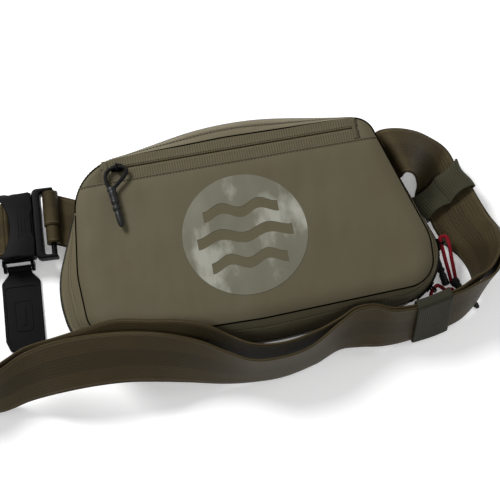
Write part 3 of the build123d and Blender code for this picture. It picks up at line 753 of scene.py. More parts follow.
def dome(name, border, lip_drop, target, shares, thick):
    """A sheet inside a closed border, as rings that shrink to a slit, laid on the panel's height."""
    rows = [raised(border - outward(border) * 0.5, panel_height(border) - lip_drop)]
    rows += [on_panel(border + (target - border) * share) for share in shares]
    rows = np.array(rows) * MM
    obj = grid(name, rows, wrap=True, flat=True)
    work = bmesh.new()
    work.from_mesh(obj.data)
    work.verts.ensure_lookup_table()
    middle = work.faces.new(work.verts[(len(rows) - 1) * len(border):])
    layer = work.loops.layers.uv.active
    for corner in middle.loops:
        corner[layer].uv = corner.vert.co.xy
    middle.smooth = True
    rings_end = len(work.verts)
    bmesh.ops.triangulate(work, faces=[middle])
    for _ in range(4):
        long = [edge for edge in work.edges if edge.calc_length() > LONGEST_EDGE]
        bmesh.ops.subdivide_edges(work, edges=long, cuts=1)
        bmesh.ops.triangulate(work, faces=[face for face in work.faces if len(face.verts) > 4])
    work.verts.index_update()
    fresh = [vert for vert in work.verts if vert.index >= rings_end]
    heights = panel_height([tuple(vert.co.xy / MM) for vert in fresh])
    for vert, height in zip(fresh, heights):
        vert.co.z = height * MM
    work.to_mesh(obj.data)
    work.free()
    return thicken(obj, thick * MM)


panel_edge = seam[:, :2] - outward(seam[:, :2]) * 0.3


def fold_border():
    """The main sheet's border: the seam below the fold, closed by the fold line itself."""
    chain = open_run(panel_edge, panel_edge[:, 1] < FOLD_Y - 0.8)
    top = np.linspace((chain[-1][0] - 0.4, FOLD_Y), (chain[0][0] + 0.4, FOLD_Y), 90)
    return resample(np.vstack([chain, top]), 2.2, closed=True)[:-1]


RING_SHARES = [0, 0.006, 0.014, 0.024, 0.036, 0.05, 0.066, 0.084, 0.105, 0.13, 0.16, 0.19, 0.23, 0.27,
               0.32, 0.37, 0.43, 0.49, 0.55, 0.61, 0.67, 0.73, 0.79, 0.85, 0.9, 0.95, 1.0]
border = fold_border()
PANEL_MIDDLE_Y = -12.0
slit = (0, PANEL_MIDDLE_Y) + (border - (0, PANEL_MIDDLE_Y)) * (0.7, 0.14)
panel = dome("front_panel_main", border, lip_drop=1.6, target=slit, shares=RING_SHARES, thick=0.9)
put(panel, "nylon_shell", "front_panel")


def top_at(edge, x):
    """How far up the pack's closed edge lies at x, in millimetres."""
    upper = edge[edge[:, 1] > 20]
    upper = upper[np.argsort(upper[:, 0])]
    return np.interp(x, upper[:, 0], upper[:, 1])


# the strip under the front zipper, from seam to seam, rising to the fold's height at its two ends
BED_Z, BED_END_Z = 52.55, 54.6
bed_x = np.linspace(-143, 142, 96)
bed_top = top_at(panel_edge, bed_x)
bed_low = np.minimum(FOLD_Y - 1.5, bed_top - 0.4)
bed_ends = np.clip(np.maximum(ZIP_LEFT - 1 - bed_x, bed_x - ZIP_RIGHT - 1) / 5 + 0.5, 0, 1)
bed_rows = []
for share in np.linspace(0, 1, 15):
    flat = np.column_stack([bed_x, bed_low + (bed_top - bed_low) * share])
    high = np.minimum(panel_height(flat), BED_END_Z)
    bed_rows.append(raised(flat, BED_Z + (high - BED_Z) * bed_ends ** 1.5) * MM)
put(thicken(grid("front_panel_top", bed_rows, flat=True), 0.8 * MM), "nylon_shell")

# ---- topstitching along the fold, and the two zipper tapes ----
fold_near = border[abs(border[:, 1] - FOLD_Y) < 3]
fold_x = np.linspace(fold_near[:, 0].min() + 2, fold_near[:, 0].max() - 2, 200)
fold_run, fold_edge = [on_panel(raised(fold_x, FOLD_Y - below), lift) * MM
                       for below, lift in ((2.0, 0.06), (0.5, 0.1))]
# the fold's stitches take the seam's painted shade, for the shadow below the fold's ridge
stitches("stitches_fold", fold_run, UP, "seam_shade", pitch=3.0, long=2.0, radius=0.34)
put(tube("front_panel_fold", fold_edge, 0.75 * MM), "nylon_shell")


def across_x(node, count, y, z):
    """A line along a CAD node's box from its low x to its high x, in metres."""
    low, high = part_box(node)
    x = np.linspace(low.x, high.x, count)
    return np.column_stack([x, np.broadcast_to(y, count), np.broadcast_to(z, count)])


for side, half in ((1, "upper"), (-1, "lower")):
    tape_node, coil_node = f"front_zipper_tape_{half}", f"front_zipper_coil_{half}"
    low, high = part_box(tape_node)
    near, far = (low.y, high.y)[::side]
    share = np.linspace(0, 1, 12)
    rows = []
    for x in np.linspace(low.x, high.x, 160):
        puff = 0.12 * MM * sin(x * 2 * pi / 0.031) * np.sin(share * pi)
        z = low.z + 0.75 * MM + 0.25 * MM * np.exp(-(share * 5) ** 2) + puff
        edge = min(far, top_at(seam, x / MM) * MM - 0.3 * MM)
        start = near - side * 0.7 * MM
        rows.append(np.column_stack([np.full(12, x), start + (edge - start) * share, z])[::side])
    tape = grid(f"front_tape_{half}", np.array(rows).transpose(1, 0, 2)[::-1], flat=True)
    put(thicken(tape, 0.6 * MM), "zipper_tape", tape_node)
    tape_run = across_x(tape_node, 200, far - side * 1.3 * MM, low.z + 0.8 * MM)
    tape_run[:, 1] = np.minimum(tape_run[:, 1], (top_at(seam, tape_run[:, 0] / MM) - 1.6) * MM)
    stitches(f"stitches_tape_{half}", tape_run, UP, "thread_shade")
    middle = sum(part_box(coil_node), Vector()) / 2
    coil(f"front_coil_{half}", coil_node, "front_coil", across_x(coil_node, 300, middle.y, middle.z), UP,
         radius=1.15 * MM, pitch=2.3 * MM, flat=0.85)

for end in ("left", "right"):
    low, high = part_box(f"zipper_garage_{end}")
    middle, size = (low + high) / 2 / MM, (high - low) / MM
    tab = plate(f"garage_{end}", [rectangle(middle.x, middle.y, size.x, size.y, 0.8)], low.z / MM - 0.2,
                high.z / MM - 0.3, 0.45)
    put(tab, "nylon_shell", f"zipper_garage_{end}")
    for k, offset in enumerate((-0.25, 0.25)):
        tab_run = np.array([(middle.x + offset * size.x, y, high.z / MM - 0.28)
                            for y in np.linspace(middle.y - size.y / 2 + 1, middle.y + size.y / 2 - 1, 30)])
        stitches(f"stitches_garage_{end}_{k}", tab_run * MM, UP, "thread_shade", pitch=1.5, long=1.2)

# ---- the padded back, with one sewn channel round it ----
back_edge = ring(2.0, 0.4)[:, :2] / MM


def back_ring(share):
    """The pad's edge drawn in towards a slit along its middle."""
    return back_edge * (1 - share * np.array((0.5, 0.97)))


CHANNEL_AT = 0.3
pad_rows = []
for share in np.concatenate([np.linspace(1, 0.12, 30), np.linspace(0.1, 0, 8)]):
    flat = back_ring(share)
    dip = 2.2 * np.exp(-((share - CHANNEL_AT) / 0.02) ** 2) + 1.6 * max(0.0, 1 - share / 0.07) ** 2
    dimple = 0.4 * (1 + ripple(raised(flat, 0), 48, 21))
    pad_rows.append(raised(flat, 0.15 + dip + dimple * min(1.0, share * 6) * 0.5))
for z in np.linspace(2.4, BACK_TOP - 0.6, 7):
    side_share = (z - 2.4) / (BACK_TOP - 3.0)
    pad_rows.append(ring(z, 1.1 - 1.0 * sin(pi * side_share)) / MM)
top_edge = ring(BACK_TOP - 0.5) / MM
pad_rows += [top_edge * (1 - share * np.array((0.5, 0.97, 0))) for share in (0.02, 0.3, 0.7, 1.0)]
back_pad = grid("back_pad", np.array(pad_rows) * MM, wrap=True, flat=True, caps=True)
put(back_pad, "padded_back", "back_panel")
channel = raised(back_ring(CHANNEL_AT), 2.0)
stitches("stitches_back_channel", np.vstack([channel, channel[:1]]) * MM, (0, 0, -1))

# ---- the divider, as strips between its lower and its upper edge ----
DIVIDER_Z = 42.0
divider_edge = ring(DIVIDER_Z, 4.2)[:, :2] / MM
divider_edge = np.roll(divider_edge, -int(np.argmax(divider_edge[:, 0])), axis=0)
left_end = int(np.argmin(divider_edge[:, 0]))
halves = [resample(half, 3.0) for half in (divider_edge[left_end:], divider_edge[:left_end + 1][::-1])]
spots = np.linspace(0.004, 0.996, 110)
lower_half, upper_half = [read_at(spots, np.linspace(0, 1, len(half)), half) for half in halves]
divider_rows = []
for share in np.linspace(0, 1, 40):
    flat = lower_half + (upper_half - lower_half) * share
    sag = ripple(raised(flat, 0), 70, 31) * 0.5 * min(1.0, 5 * share * (1 - share))
    divider_rows.append(raised(flat, DIVIDER_Z + sag) * MM)
put(thicken(grid("pocket_divider_sheet", divider_rows, flat=True), 0.8 * MM), "lining", "pocket_divider")

# ---- emblem: a disc of film with three waves cut out, laid on the front panel ----
EMBLEM_R, EMBLEM_X, EMBLEM_Y = 56.0, -3.0, -10.0
WAVES = ((24, 34), (0, 43), (-24, 34))
WAVE_HALF, WAVE_SWING = 5.0, 3.0


def wave_loop(rise_y, half):
    """The outline of one wave-shaped cut-out: two sine edges joined at their ends."""
    share = np.linspace(-1, 1, 49)
    swing = -WAVE_SWING * np.cos(2 * pi * share)
    middle = np.column_stack([EMBLEM_X + half * share, EMBLEM_Y + rise_y + swing])
    return np.vstack([middle - (0, WAVE_HALF), middle[::-1] + (0, WAVE_HALF)])


def draped_film(name, loops, step, film_thick):
    """A flat cut sheet sliced into small cells and laid on the front panel."""
    mesh = filled(name, loops)
    work = bmesh.new()
    work.from_mesh(mesh)
    bmesh.ops.remove_doubles(work, verts=work.verts, dist=1e-4)
    for axis in (Vector((1, 0, 0)), Vector((0, 1, 0))):
        for place in range(-70, 71, step):
            everything = work.verts[:] + work.edges[:] + work.faces[:]
            bmesh.ops.bisect_plane(work, geom=everything, dist=1e-5, plane_co=axis * place, plane_no=axis)
    bmesh.ops.recalc_face_normals(work, faces=work.faces)
    for vert, z in zip(work.verts, panel_height([v.co[:2] for v in work.verts]) + film_thick):
        vert.co.z = z
        vert.co *= MM
    if sum(face.normal.z for face in work.faces) < 0:
        bmesh.ops.reverse_faces(work, faces=work.faces)
    obj = thicken(written(name, work, mesh), film_thick * MM)
    obj.modifiers.new("crisp_rim", "EDGE_SPLIT").split_angle = radians(40)
    return obj


emblem_loops = [circle(EMBLEM_X, EMBLEM_Y, EMBLEM_R, 96)] + [wave_loop(*wave) for wave in WAVES]
put(draped_film("emblem_disc", emblem_loops, step=4, film_thick=0.3), "emblem_film", "emblem")

# ================= sliders and pulls =================

GRIP_R = 3.7
GRIP_STAGES = [(0, 0.25), (0.01, 0.8), (0.03, 0.92), (0.1, 1.0), (0.2, 0.9), (0.33, 0.96), (0.37, 0.86),
               (0.40, 0.68), (0.43, 0.72), (0.455, 0.99), (0.52, 1.0), (0.555, 0.74), (0.6, 0.72),
               (0.66, 0.8), (0.8, 0.78), (0.9, 0.7), (0.96, 0.55), (0.985, 0.38), (1.0, 0.08)]


def grip(name, start, direction, length, node, body="pack"):
    """A moulded pull grip: a thick sleeve, a collar and a thinner rounded tip."""
    at = np.linspace(0, 1, 90)
    radius = np.interp(at, *np.transpose(GRIP_STAGES)) * GRIP_R * MM
    radius *= 1 + 0.03 * np.sin(at * length * 2 * pi / 2.2) * (at < 0.36)
    line = (start + np.outer(at * length, unit(np.array(direction)))) * MM
    return put(tube(name, line, radius, flat=0.88, sides=20), "grip_rubber", node, body=body)


def mouth(name, start, end, radius, flat, body="pack"):
    """The wide flat end of a grip, which holds both strands of its cord."""
    swell = 1 - 0.35 * np.linspace(-1, 1, 16) ** 6
    line = np.linspace(start, end, 16) * MM
    put(tube(name, line, radius * MM * swell, flat=flat, sides=24), "grip_rubber", body=body)


def frame_matrix(origin, x, z):
    """A frame in millimetres from its origin, its x direction and its z direction."""
    x, z = Vector(x).normalized(), Vector(z).normalized()
    return Matrix.Translation(origin) @ Matrix((x, z.cross(x), z)).transposed().to_4x4()


UPRIGHT = Matrix(((0, 0, 1, 0), (1, 0, 0, 0), (0, 1, 0, 0), (0, 0, 0, 1)))   # plate's x, y, z to y, z, x


def zip_slider(node, matrix, length, width, room, body="pack"):
    """A slider: a teardrop plate over the coil, a thin post, a plate below, and an arched bail across it,
    with that much room under the arch."""
    half, nose = length / 2, width * 0.3
    over = rounded([(-half, -nose), (half * 0.4, -width / 2), (half, -width * 0.36), (half, width * 0.36),
                    (half * 0.4, width / 2), (-half, nose)], 1.1, 4)
    bar, foot = 1.2, 1.9
    legs = width / 2 - 0.5
    arch = rounded([(-legs, foot - 0.3), (legs, foot - 0.3), (legs, foot + room + bar),
                    (-legs, foot + room + bar)], (0.3, 0.3, 2.2, 2.2), 6)
    hole = rounded([(-legs + bar, foot + 0.1), (legs - bar, foot + 0.1), (legs - bar, foot + room),
                    (-legs + bar, foot + room)], (0.3, 0.3, 1.3, 1.3), 6)
    parts = [plate("over", [over], 0.3, foot, 0.5, matrix),
             plate("bail", [arch, hole], -1.0, 1.0, 0.35, matrix @ UPRIGHT),
             plate("post", [rectangle(0, 0, length * 0.5, 0.8)], -3.1, 0.8, 0.1, matrix),
             plate("under", [rectangle(0, 0, length * 0.8, width * 0.7, 1.2)], -3.9, -2.9, 0.3, matrix)]
    put(joined(node + "_body", *parts), "slider_metal", node, body=body)


FRONT_COIL_TOP = 54.4
FRONT_SLIDER_X = -106.0
zip_slider("front_slider", Matrix.Translation((FRONT_SLIDER_X, ZIP_Y, FRONT_COIL_TOP)), length=11.0,
           width=8.6, room=4.2, body="front_slider")
MAIN_SLIT_Z = 19.6
bend_start, side_bend, bend_end = [Vector((*WIDE_OUTLINE[corner], 0)) for corner in (2, 3, 4)]
above, below = (bend_start - side_bend).normalized(), (side_bend - bend_end).normalized()
side_run = (above + below).normalized()
side_out = Vector((side_run.y, -side_run.x, 0))
bend_cut = WIDE_RADII[3] * (1 / cos(above.angle(below) / 2) - 1)
slider_a = side_bend + side_out * (COIL_PROUD - bend_cut)
slider_a.z = MAIN_SLIT_Z
zip_slider("main_slider_a", frame_matrix(slider_a, side_run, side_out), length=11.0, width=10.4, room=4.8)
CORNER, B_ANGLE = (118.0, -40.9), radians(-46)
b_out = Vector((cos(B_ANGLE), sin(B_ANGLE), 0))
b_reach = WIDE_RADII[4] + COIL_PROUD + 0.3
slider_b = Vector((*CORNER, MAIN_SLIT_Z)) + b_out * b_reach
zip_slider("main_slider_b", frame_matrix(slider_b, (-b_out.y, b_out.x, 0), b_out), length=10.0, width=10.4,
           room=4.8)

front_grip = grip("front_grip", (-113.3, 50.0, 62.9), (0.108, -0.994, 0), 36, "front_pull_grip", "front_pull")
grip_a = grip("grip_a", (182.2, -76.0, 4.1), (0.5, -0.866, 0), 32, "red_grip_a")
grip_b = grip("grip_b", (173.8, -77.4, 4.1), (-0.11, 0.994, 0), 31, "red_grip_b")
mouth("front_grip_mouth", (-113.4, 53.0, 62.7), (-113.2, 48.4, 62.9), radius=4.1, flat=0.72,
      body="front_pull")
mouth("grip_a_mouth", (180.4, -72.4, 5.2), (183.8, -78.6, 4.2), radius=4.7, flat=0.62)


def knot(name, centre, size, thick):
    """An overhand knot: one closed strand that winds three times round a small ring."""
    turn = np.linspace(0, 2 * pi, 120, endpoint=False)
    reach = size * (0.5 + 0.22 * np.cos(3 * turn))
    line = np.column_stack([reach * np.cos(2 * turn), reach * np.sin(2 * turn) * 0.85,
                            size * 0.3 * np.sin(3 * turn)]) + np.array(centre)
    return tube(name, np.vstack([line, line[:2]]) * MM, thick / 2 * MM, sides=10)


knot_b = put(knot("knot_b", (175.9, -83.2, 4.5), size=4.2, thick=3.0), "cord_red", "red_knot_b")
free_cord("front_cord", front_pull_route, 3.4, "cord_black", "front_pull", "front_pull_cord", 3,
          length=0.062, far_end="fitting", stiffness="limp", lay="loose", with_pieces=[front_grip])
free_cord("cord_a", red_cord_a_route, 3.5, "cord_red", "pack", "red_cord_a", 0,
          length=0.090, far_end="fitting", stiffness="limp", lay="loose", with_pieces=[grip_a])
free_cord("cord_b", red_cord_b_route, 3.5, "cord_red", "pack", "red_cord_b", 0,
          length=0.055, far_end="knot", stiffness="limp", lay="loose", with_pieces=[knot_b, grip_b])

# ================= the buckle, in its own frame: x along the belt, y across it =================

BUCKLE = Matrix.Translation((-175, 44, 18)) @ Matrix.Rotation(radians(-3), 4, "Z")


def from_buckle(x, y, z):
    """A point of the buckle's frame, in millimetres, as metres in the shared frame."""
    return np.array(BUCKLE @ Vector((x, y, z))) * MM


def buckle_bar(name, x, half, radius):
    """A round bar across the buckle, fatter where it meets the frame."""
    share = np.linspace(-1, 1, 40)
    line = [from_buckle(x, half * s, 0) for s in share]
    swell = 1 + 0.35 * np.clip((np.abs(share) - 0.9) / 0.1, 0, 1) ** 2
    return tube(name, line, radius * MM * swell, sides=16)


def block(x, y, wide, deep, low, high, radius, bevel):
    """A plain rounded block of the buckle, by its middle, its size and its two heights."""
    return plate("block", [rectangle(x, y, wide, deep, radius)], low, high, bevel, BUCKLE)


BAR_R, PLUG_HALF, INNER_HALF = 2.6, 34.0, 30.6
plug_half = [(-16.5, -PLUG_HALF), (3.5, -PLUG_HALF), (3.5, -INNER_HALF), (-9.0, -INNER_HALF)]
plug_corners = [*plug_half, (-9.4, 0), *[(x, -y) for x, y in plug_half[::-1]]]
plug_outline = rounded(plug_corners, (5.0, 1.6, 1.6, 4.0, 60.0, 4.0, 1.6, 1.6, 5.0), 8, 3)
plug_parts = [plate("plug_frame", [plug_outline], -6, 6, 1.5, BUCKLE, 4),
              block(-21.5, 0, 15, 9, -3, 3, 1.2, 0.6),
              block(-16.2, 22, 1.6, 10, -3.4, 3.4, 0.4, 0.4),
              block(-16.2, -22, 1.6, 10, -3.4, 3.4, 0.4, 0.4),
              buckle_bar("plug_bar", 0, PLUG_HALF - 1.5, BAR_R)]
put(joined("plug", *plug_parts), "buckle_plastic", "buckle_plug")

TAB_X, HINGE_Y, HINGE_Z = -35.5, -35.5, -14.0
hood_half = [(-46.5, -31), (-41, -31), (-37, -30), (-19, -31), (-17, -29), (-16.2, -14), (-18.2, -9)]
hood_outline = hood_half + [(x, -y) for x, y in hood_half[::-1]]
hood_outline += [(-38.5 - 9.5 * (y / 29) ** 2, y) for y in np.linspace(29, -29, 25)]
shell_outline = rounded([(-37, -31), (-17, -31), (-17, 31), (-37, 31)], 2.5, 5, 4)
lug = rounded([(-38.8, -17), (-30.4, -17), (-30.4, -5), (-34.4, -5), (-34.4, -10.2), (-38.8, -10.2)],
              (2.8, 0.5, 0.3, 0.3, 0.8, 2.4), 5)
socket_parts = [plate("socket_over", [hood_outline], 5.6, 8.0, 1.1, BUCKLE, 4),
                plate("socket_ceiling", [shell_outline], 4.6, 6.4, 0.5, BUCKLE, 2),
                plate("socket_under", [shell_outline], -8.0, -4.6, 1.3, BUCKLE, 4),
                block(-35.2, 0, 3.4, 60, -5.4, 5.4, 0.6, 0.3),
                block(TAB_X, -30, 29, 3, -8, -5, 0.5, 0.4),
                buckle_bar("socket_bar", -43, 29.5, BAR_R)]
socket_parts += [block(x, 0, 1.1, deep, 7.7, 8.35, 0.5, 0.25)
                 for x, deep in ((-30.5, 26), (-27.5, 22), (-24.5, 18))]
for side in (-1, 1):
    arm = [(-48.5, side * 27.5), (-36, side * 27.5), (-36, side * 31), (-48.5, side * 31)]
    arm = rounded(arm[::side], (0.9, 0.3, 0.3, 1.6)[::side], 4)
    lug_x = TAB_X + side * 13.1
    socket_parts += [block(-19.3, side * 29.4, 4.4, 2.8, -5.4, 5.4, 0.6, 0.3),
                     block(-33.6, side * 29.4, 4.2, 2.8, -5.4, 5.4, 0.6, 0.3),
                     plate("socket_arm", [arm], -5, 5, 0.8, BUCKLE),
                     plate("lug", [lug, circle(HINGE_Y, HINGE_Z, 1.45, 16)], lug_x - 1.4, lug_x + 1.4, 0.3,
                           BUCKLE @ UPRIGHT)]
put(joined("socket", *socket_parts), "buckle_plastic", "buckle_socket")

for prong, side in (("upper", 1), ("lower", -1)):
    outline = [(-16.9, side * 20), (-16.9, side * 24.5), (-22, side * 24.5), (-22.4, side * 29),
               (-25.5, side * 28.6), (-31, side * 23), (-31, side * 20)][::-side]
    outline = rounded(outline, (0.3, 0.3, 0.6, 1.2, 1.0, 1.0, 1.0)[::-side], 4)
    made = plate(f"prong_{prong}", [outline], -4, 4, 0.5, BUCKLE)
    put(made, "buckle_plastic", f"buckle_prong_{prong}", body=f"prong_{prong}")

hinge_line = [from_buckle(x, HINGE_Y, HINGE_Z) for x in np.linspace(TAB_X - 14.5, TAB_X + 14.5, 12)]
pin_radius = 1.4 * MM * np.array([0.82] + [1.0] * 10 + [0.82])
put(tube("hinge_pin", hinge_line, pin_radius, sides=16), "pin_steel", "tab_pin")

TAB_END = -113.0
tab_corners = [(TAB_X - 11, -37.5), (TAB_X - 11, -40), (TAB_X - 18, -48), (TAB_X - 18, TAB_END + 10),
               (TAB_X - 14, TAB_END), (TAB_X + 14, TAB_END), (TAB_X + 18, TAB_END + 6), (TAB_X + 18, -48),
               (TAB_X + 11, -40), (TAB_X + 11, -37.5)]
tab_outline = rounded(tab_corners, (0.5, 1.5, 5, 5, 3, 3, 5, 5, 1.5, 0.5), 7)


def tab_inset(amount):
    """The tab's outline moved inwards, without the narrow neck."""
    body = [(x, min(y, -48 - amount * 0.5)) for x, y in tab_corners if y < -45]
    narrow = 1 - amount / 18
    shrunk = [((x - TAB_X) * narrow + TAB_X, y + (amount if y < -90 else -amount)) for x, y in body]
    return rounded(shrunk, 4.0, 7)


tab_frame = [rectangle(TAB_X, -80, 17, 30, 4.0), rectangle(TAB_X, -80, 14, 27, 2.8)]
tab_parts = [plate("tab_base", [tab_outline], -17, -15.2, 0.5, BUCKLE),
             plate("tab_rim", [tab_inset(0.6), tab_inset(3.0)], -15.6, -14.6, 0.35, BUCKLE),
             plate("tab_frame", tab_frame, -15.5, -14.75, 0.25, BUCKLE),
             block(TAB_X, -80, 5, 20, -15.5, -14.75, 1.8, 0.25),
             plate("tab_knuckle", [circle(HINGE_Y, HINGE_Z, 3, 32), circle(HINGE_Y, HINGE_Z, 1.55, 20)],
                   TAB_X - 11, TAB_X + 11, 0.4, BUCKLE @ UPRIGHT)]
put(joined("release_pull_tab", *tab_parts), "tab_rubber", "pull_tab", body="release_tab")

# ---- the short webbing that holds the plug: a roll round its bar, and a sleeve over the roll ----


def ribbon(name, path, low, high, thick, nodes=(), skew=0.0, wobble=0.12):
    """Webbing bent along a path of x, z in the buckle's frame, between two heights of y.
    skew is how far it slants down for each millimetre that it runs right of the bar's roll."""
    rows = []
    for x, z in path:
        slant = skew * max(0.0, x - 2) * (z < -5)
        rows.append([])
        for y in np.linspace(low, high, 17):
            wave = wobble * noise.noise(Vector((x * 0.08 + 1, y * 0.07, z * 0.08)))
            rows[-1].append(from_buckle(x, y - slant, z + wave))
    put(thicken(grid(name, rows), thick * MM, 0), "webbing", *nodes)


def arc(radius, start, end, count):
    """Points x, z on an arc about the bar, between two angles in degrees."""
    return [(radius * cos(radians(t)), radius * sin(radians(t))) for t in np.linspace(start, end, count)]


LOOP_LOW, LOOP_HIGH = -19.7, 30.2
FOOT_SKEW = 15.0 / 38.0
roll = [(x, -5.7) for x in np.linspace(36, 2, 18)] + arc(5.6, -84, -395, 56)
ribbon("anchor_roll", roll, LOOP_LOW, LOOP_HIGH, 1.5, ["anchor_loop"], FOOT_SKEW)
under = [(x, -7.3) for x in np.linspace(36, -1, 20)]
ribbon("anchor_under_layer", under, LOOP_LOW + 0.6, LOOP_HIGH - 0.4, 1.4, skew=FOOT_SKEW)
ribbon("anchor_roll_inner", arc(3.85, -70, -400, 50), LOOP_LOW + 0.3, LOOP_HIGH - 0.3, 1.5)
ribbon("anchor_sleeve_band", arc(7.0, 214, -33, 48), -2.8, LOOP_HIGH, 0.75, ["anchor_sleeve"], wobble=0.2)
for k, y in enumerate((-0.8, LOOP_HIGH - 2.0)):
    seam_points = np.array([from_buckle(x, y, z) for x, z in arc(7.42, 200, -20, 40)])
    seam_out = seam_points - from_buckle(0, y, 0)
    stitches(f"stitches_sleeve_{k}", seam_points, seam_out, "thread_dark", pitch=2.4, long=1.8, radius=0.2)

# ================= belt =================

WEB, WEB_T = 50.0, 1.8
# each station: x, y and z of the belt's lower edge, then the bearing and the climb of the line across it
belt_outer_stations = [
    (149.2, 25.9, 25.2, 107, 0), (151.6, 26.5, 27.4, 106, 0), (152.0, 26, 36, 103, -6),
    (153.2, 25, 43, 98, -11), (156.5, 23.5, 46.5, 88, -15), (160.5, 21.5, 43, 74, -16),
    (163.5, 19, 33, 60, -13), (165, 16, 20, 46, -4), (164, 12.5, 8, 34, 10), (163.5, 8, 3.0, 26, 17),
    (172.3, -10, 3.0, 26, 17), (175.5, -22, 2.2, 20, 19), (180.5, -36, 2.2, 15, 22),
    (192, -53, 5, 14, 43), (203, -67, 8.5, 22, 62), (205, -86, 9.5, 20, 84), (189, -104, 10.5, 95, 77),
    (177, -111.5, 7, 87, 71), (165, -115, 4.0, 81, 67.5), (127, -121, 4.0, 81, 67.5),
    (114, -122.5, 7, 92, 65), (98, -123, 13, 92, 56), (84, -120.5, 12, 97, 60), (69, -118, 7, 98, 72),
    (39, -127, 3.4, 130, 80), (8, -133, 3, 97, 80), (-21, -132.5, 4, 70, 77), (-45, -130, 8, 67, 66),
    (-73, -125.5, 18, 65, 52), (-100, -122, 29, 77, 43), (-128, -118, 33, 81, 40),
    (-156, -116.5, 34, 86, 38), (-185, -116, 29.5, 87, 38), (-216, -116, 17, 84, 44),
    (-247, -119, 6, 76, 56), (-274, -112, 3, 55, 74), (-296, -92, 2.4, 20, 84), (-307, -64, 2.4, 5, 86),
    (-307, -34, 2.6, 5, 84), (-297, -10, 4, 60, 76), (-280, 6, 7.5, 82, 52), (-259, 15, 11.5, 87, 22),
    (-240, 19, 13.8, 87, 3), (-219.8, 19.8, 13.8, 87, 0),
]
belt_inner_stations = [
    (163.3, 6.8, 5.5, 26, 17), (171.5, -10.1, 5.5, 26, 17), (174.5, -22, 5.0, 20, 19),
    (179, -36, 5.6, 15, 22), (190.5, -53, 8, 14, 46), (196, -68, 10.5, 15, 60),
    (195.5, -83.5, 12, 17, 80), (186.5, -98.5, 12, 77, 76), (175, -108.3, 8, 85, 71),
    (164.6, -112.5, 3.1, 81, 67.5), (126.6, -118.5, 3.1, 81, 67.5), (114, -119.8, 5.8, 92, 65),
    (98, -120.5, 11, 92, 56), (84, -117.8, 10.4, 97, 60), (69.5, -115, 6, 98, 71),
    (40, -116.5, 5, 90, 80), (10, -120, 5, 90, 81), (-17, -117, 6, 88, 79), (-34, -113.5, 9, 85, 72),
    (-51, -112, 18, 80, 62), (-78, -115, 30, 82, 42), (-104, -111.5, 33, 83, 40),
    (-134.5, -107, 35, 85, 39), (-158, -110, 34, 86, 38), (-186, -112, 26, 86, 37),
    (-216, -111, 13, 84, 42), (-243, -110.5, 4, 76, 58), (-268, -105, 2.6, 55, 74),
    (-288, -89, 2.4, 20, 84), (-299, -64, 2.4, 5, 86), (-299, -36, 2.8, 5, 84), (-291, -15, 5, 60, 76),
    (-277, 1, 11, 82, 52), (-258, 12.6, 17.5, 87, 22), (-240, 18.6, 21.8, 87, 3),
    (-219.8, 19.8, 22.2, 87, 0),
]


def leaning(turn, climb):
    """Unit vector at a compass bearing from +X and a rise above the floor, in degrees."""
    level = cos(radians(climb))
    return np.array([level * cos(radians(turn)), level * sin(radians(turn)), sin(radians(climb))])


def smooth_through(values, at, fine):
    """Values at places along a line, read smoothly at finer places."""
    steps = np.diff(at)
    secants = np.diff(values, axis=0) / steps[:, None]
    slopes = np.vstack([secants[:1], (secants[:-1] * steps[1:, None] + secants[1:] * steps[:-1, None])
                        / (steps[1:] + steps[:-1])[:, None], secants[-1:]])
    k = np.clip(np.searchsorted(at, fine, side="right") - 1, 0, len(steps) - 1)
    width = steps[k][:, None]
    t = ((fine - at[k]) / steps[k])[:, None]
    return ((2 * t ** 3 - 3 * t ** 2 + 1) * values[k] + (t ** 3 - 2 * t ** 2 + t) * width * slopes[k]
            + (3 * t ** 2 - 2 * t ** 3) * values[k + 1] + (t ** 3 - t ** 2) * width * slopes[k + 1])


def belt_stations(stations):
    """Middles, cross directions and distances along the belt of its stations, in millimetres."""
    leans = np.array([leaning(*s[3:]) for s in stations])
    middles = np.array([s[:3] for s in stations]) + leans * WEB / 2
    return middles, leans, lengths(middles)


def belt_run(stations, step=2.0):
    """Middle line, cross direction and run of a layer of the belt, at every step along it."""
    middles, leans, at = belt_stations(stations)
    fine = np.linspace(0, at[-1], int(at[-1] / step))
    both = smooth_through(np.hstack([middles, leans]), at, fine)
    middle, lean = both[:, :3], unit(both[:, 3:])
    lowest = middle[:, 2] - np.abs(lean[:, 2]) * WEB / 2
    middle[:, 2] += np.maximum(0, 1.2 - lowest)
    return middle, lean, unit(np.gradient(middle, axis=0))


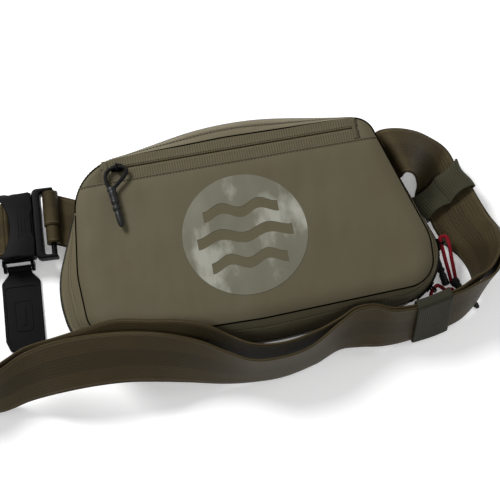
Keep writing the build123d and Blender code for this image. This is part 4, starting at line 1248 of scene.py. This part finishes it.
for layer, stations, seed in (("outer", belt_outer_stations, 41), ("inner", belt_inner_stations, 43)):
    rows = []
    for place, lean, along in zip(*belt_run(stations)):
        row = place + np.outer(np.linspace(-0.5, 0.5, 21) * WEB, lean)
        rows.append(row + np.outer(ripple(row, 42, seed, 2) * 0.22, np.cross(lean, along)))
    layer_piece = thicken(grid(f"belt_{layer}", np.array(rows) * MM), WEB_T * MM, 0)
    put(layer_piece, "webbing", f"belt_{layer}_layer")

SOCKET_BAR_X = -43.0
turn_path = [(-3.0, -4.2), (-1.0, -4.2), *arc(4.2, -90, 90, 20), (-1.0, 4.2), (-3.0, 4.2)]
turn_path = [(SOCKET_BAR_X + x, z) for x, z in turn_path]
ribbon("belt_turn", turn_path, -26.7, 23.1, 1.75, ["belt_socket_loop"], wobble=0.05)

ELASTIC = 1.3
STACK_MIDDLE, STACK_HALF, HEM_THINNING = 1.4, 2.8, 0.35


def keeper(node, first, run, look, pinch):
    """An elastic sleeve round both layers of the belt, which follows the outer layer from a distance along
    it; pinch is how far its faces swell into two lobes beside their middle."""
    sources = belt_run(belt_outer_stations, 1.0)
    at = lengths(sources[0])
    half_wide, half_deep = WEB / 2 + 0.7 + ELASTIC, STACK_HALF + ELASTIC
    section = rounded([(i * half_wide, j * half_deep) for i, j in SQUARE], 2.2, 6, 40)
    rows = []
    for t in np.linspace(0, 1, 36):
        here, across, ahead = [read_at([first + t * run], at, source)[0] for source in sources]
        stack = unit(np.cross(ahead, across))
        hem = np.clip(min(t, 1 - t) * run / 1.2, 0, 1)
        row = []
        for u, w in section:
            face = abs(w) > half_deep - 1.6
            lobe = pinch * abs(sin(pi * u / half_wide)) ** 0.8 * np.sign(w) * face
            bend = pinch * 0.7 * (abs(sin(pi * u / half_wide)) - 0.5) * np.sign(t - 0.5) * (2 * t - 1) ** 2
            out = STACK_MIDDLE + w - np.sign(w) * HEM_THINNING * (1 - hem) + lobe
            place = here + stack * out + across * u - ahead * bend
            row.append((place[0], place[1], max(0.1, place[2])))
        rows.append(row)
    made = grid(node + "_sleeve", np.array(rows)[:, ::-1] * MM, wrap=True)
    put(thicken(made, ELASTIC * MM), look, node)


station_at = belt_stations(belt_outer_stations)[2]
keeper("keeper_upper", station_at[9] - 4.0, 27.0, "elastic", pinch=4.0)
keeper("keeper_lower", station_at[18] + 2.5, station_at[19] - station_at[18] - 5.0, "elastic_across",
       pinch=0.0)
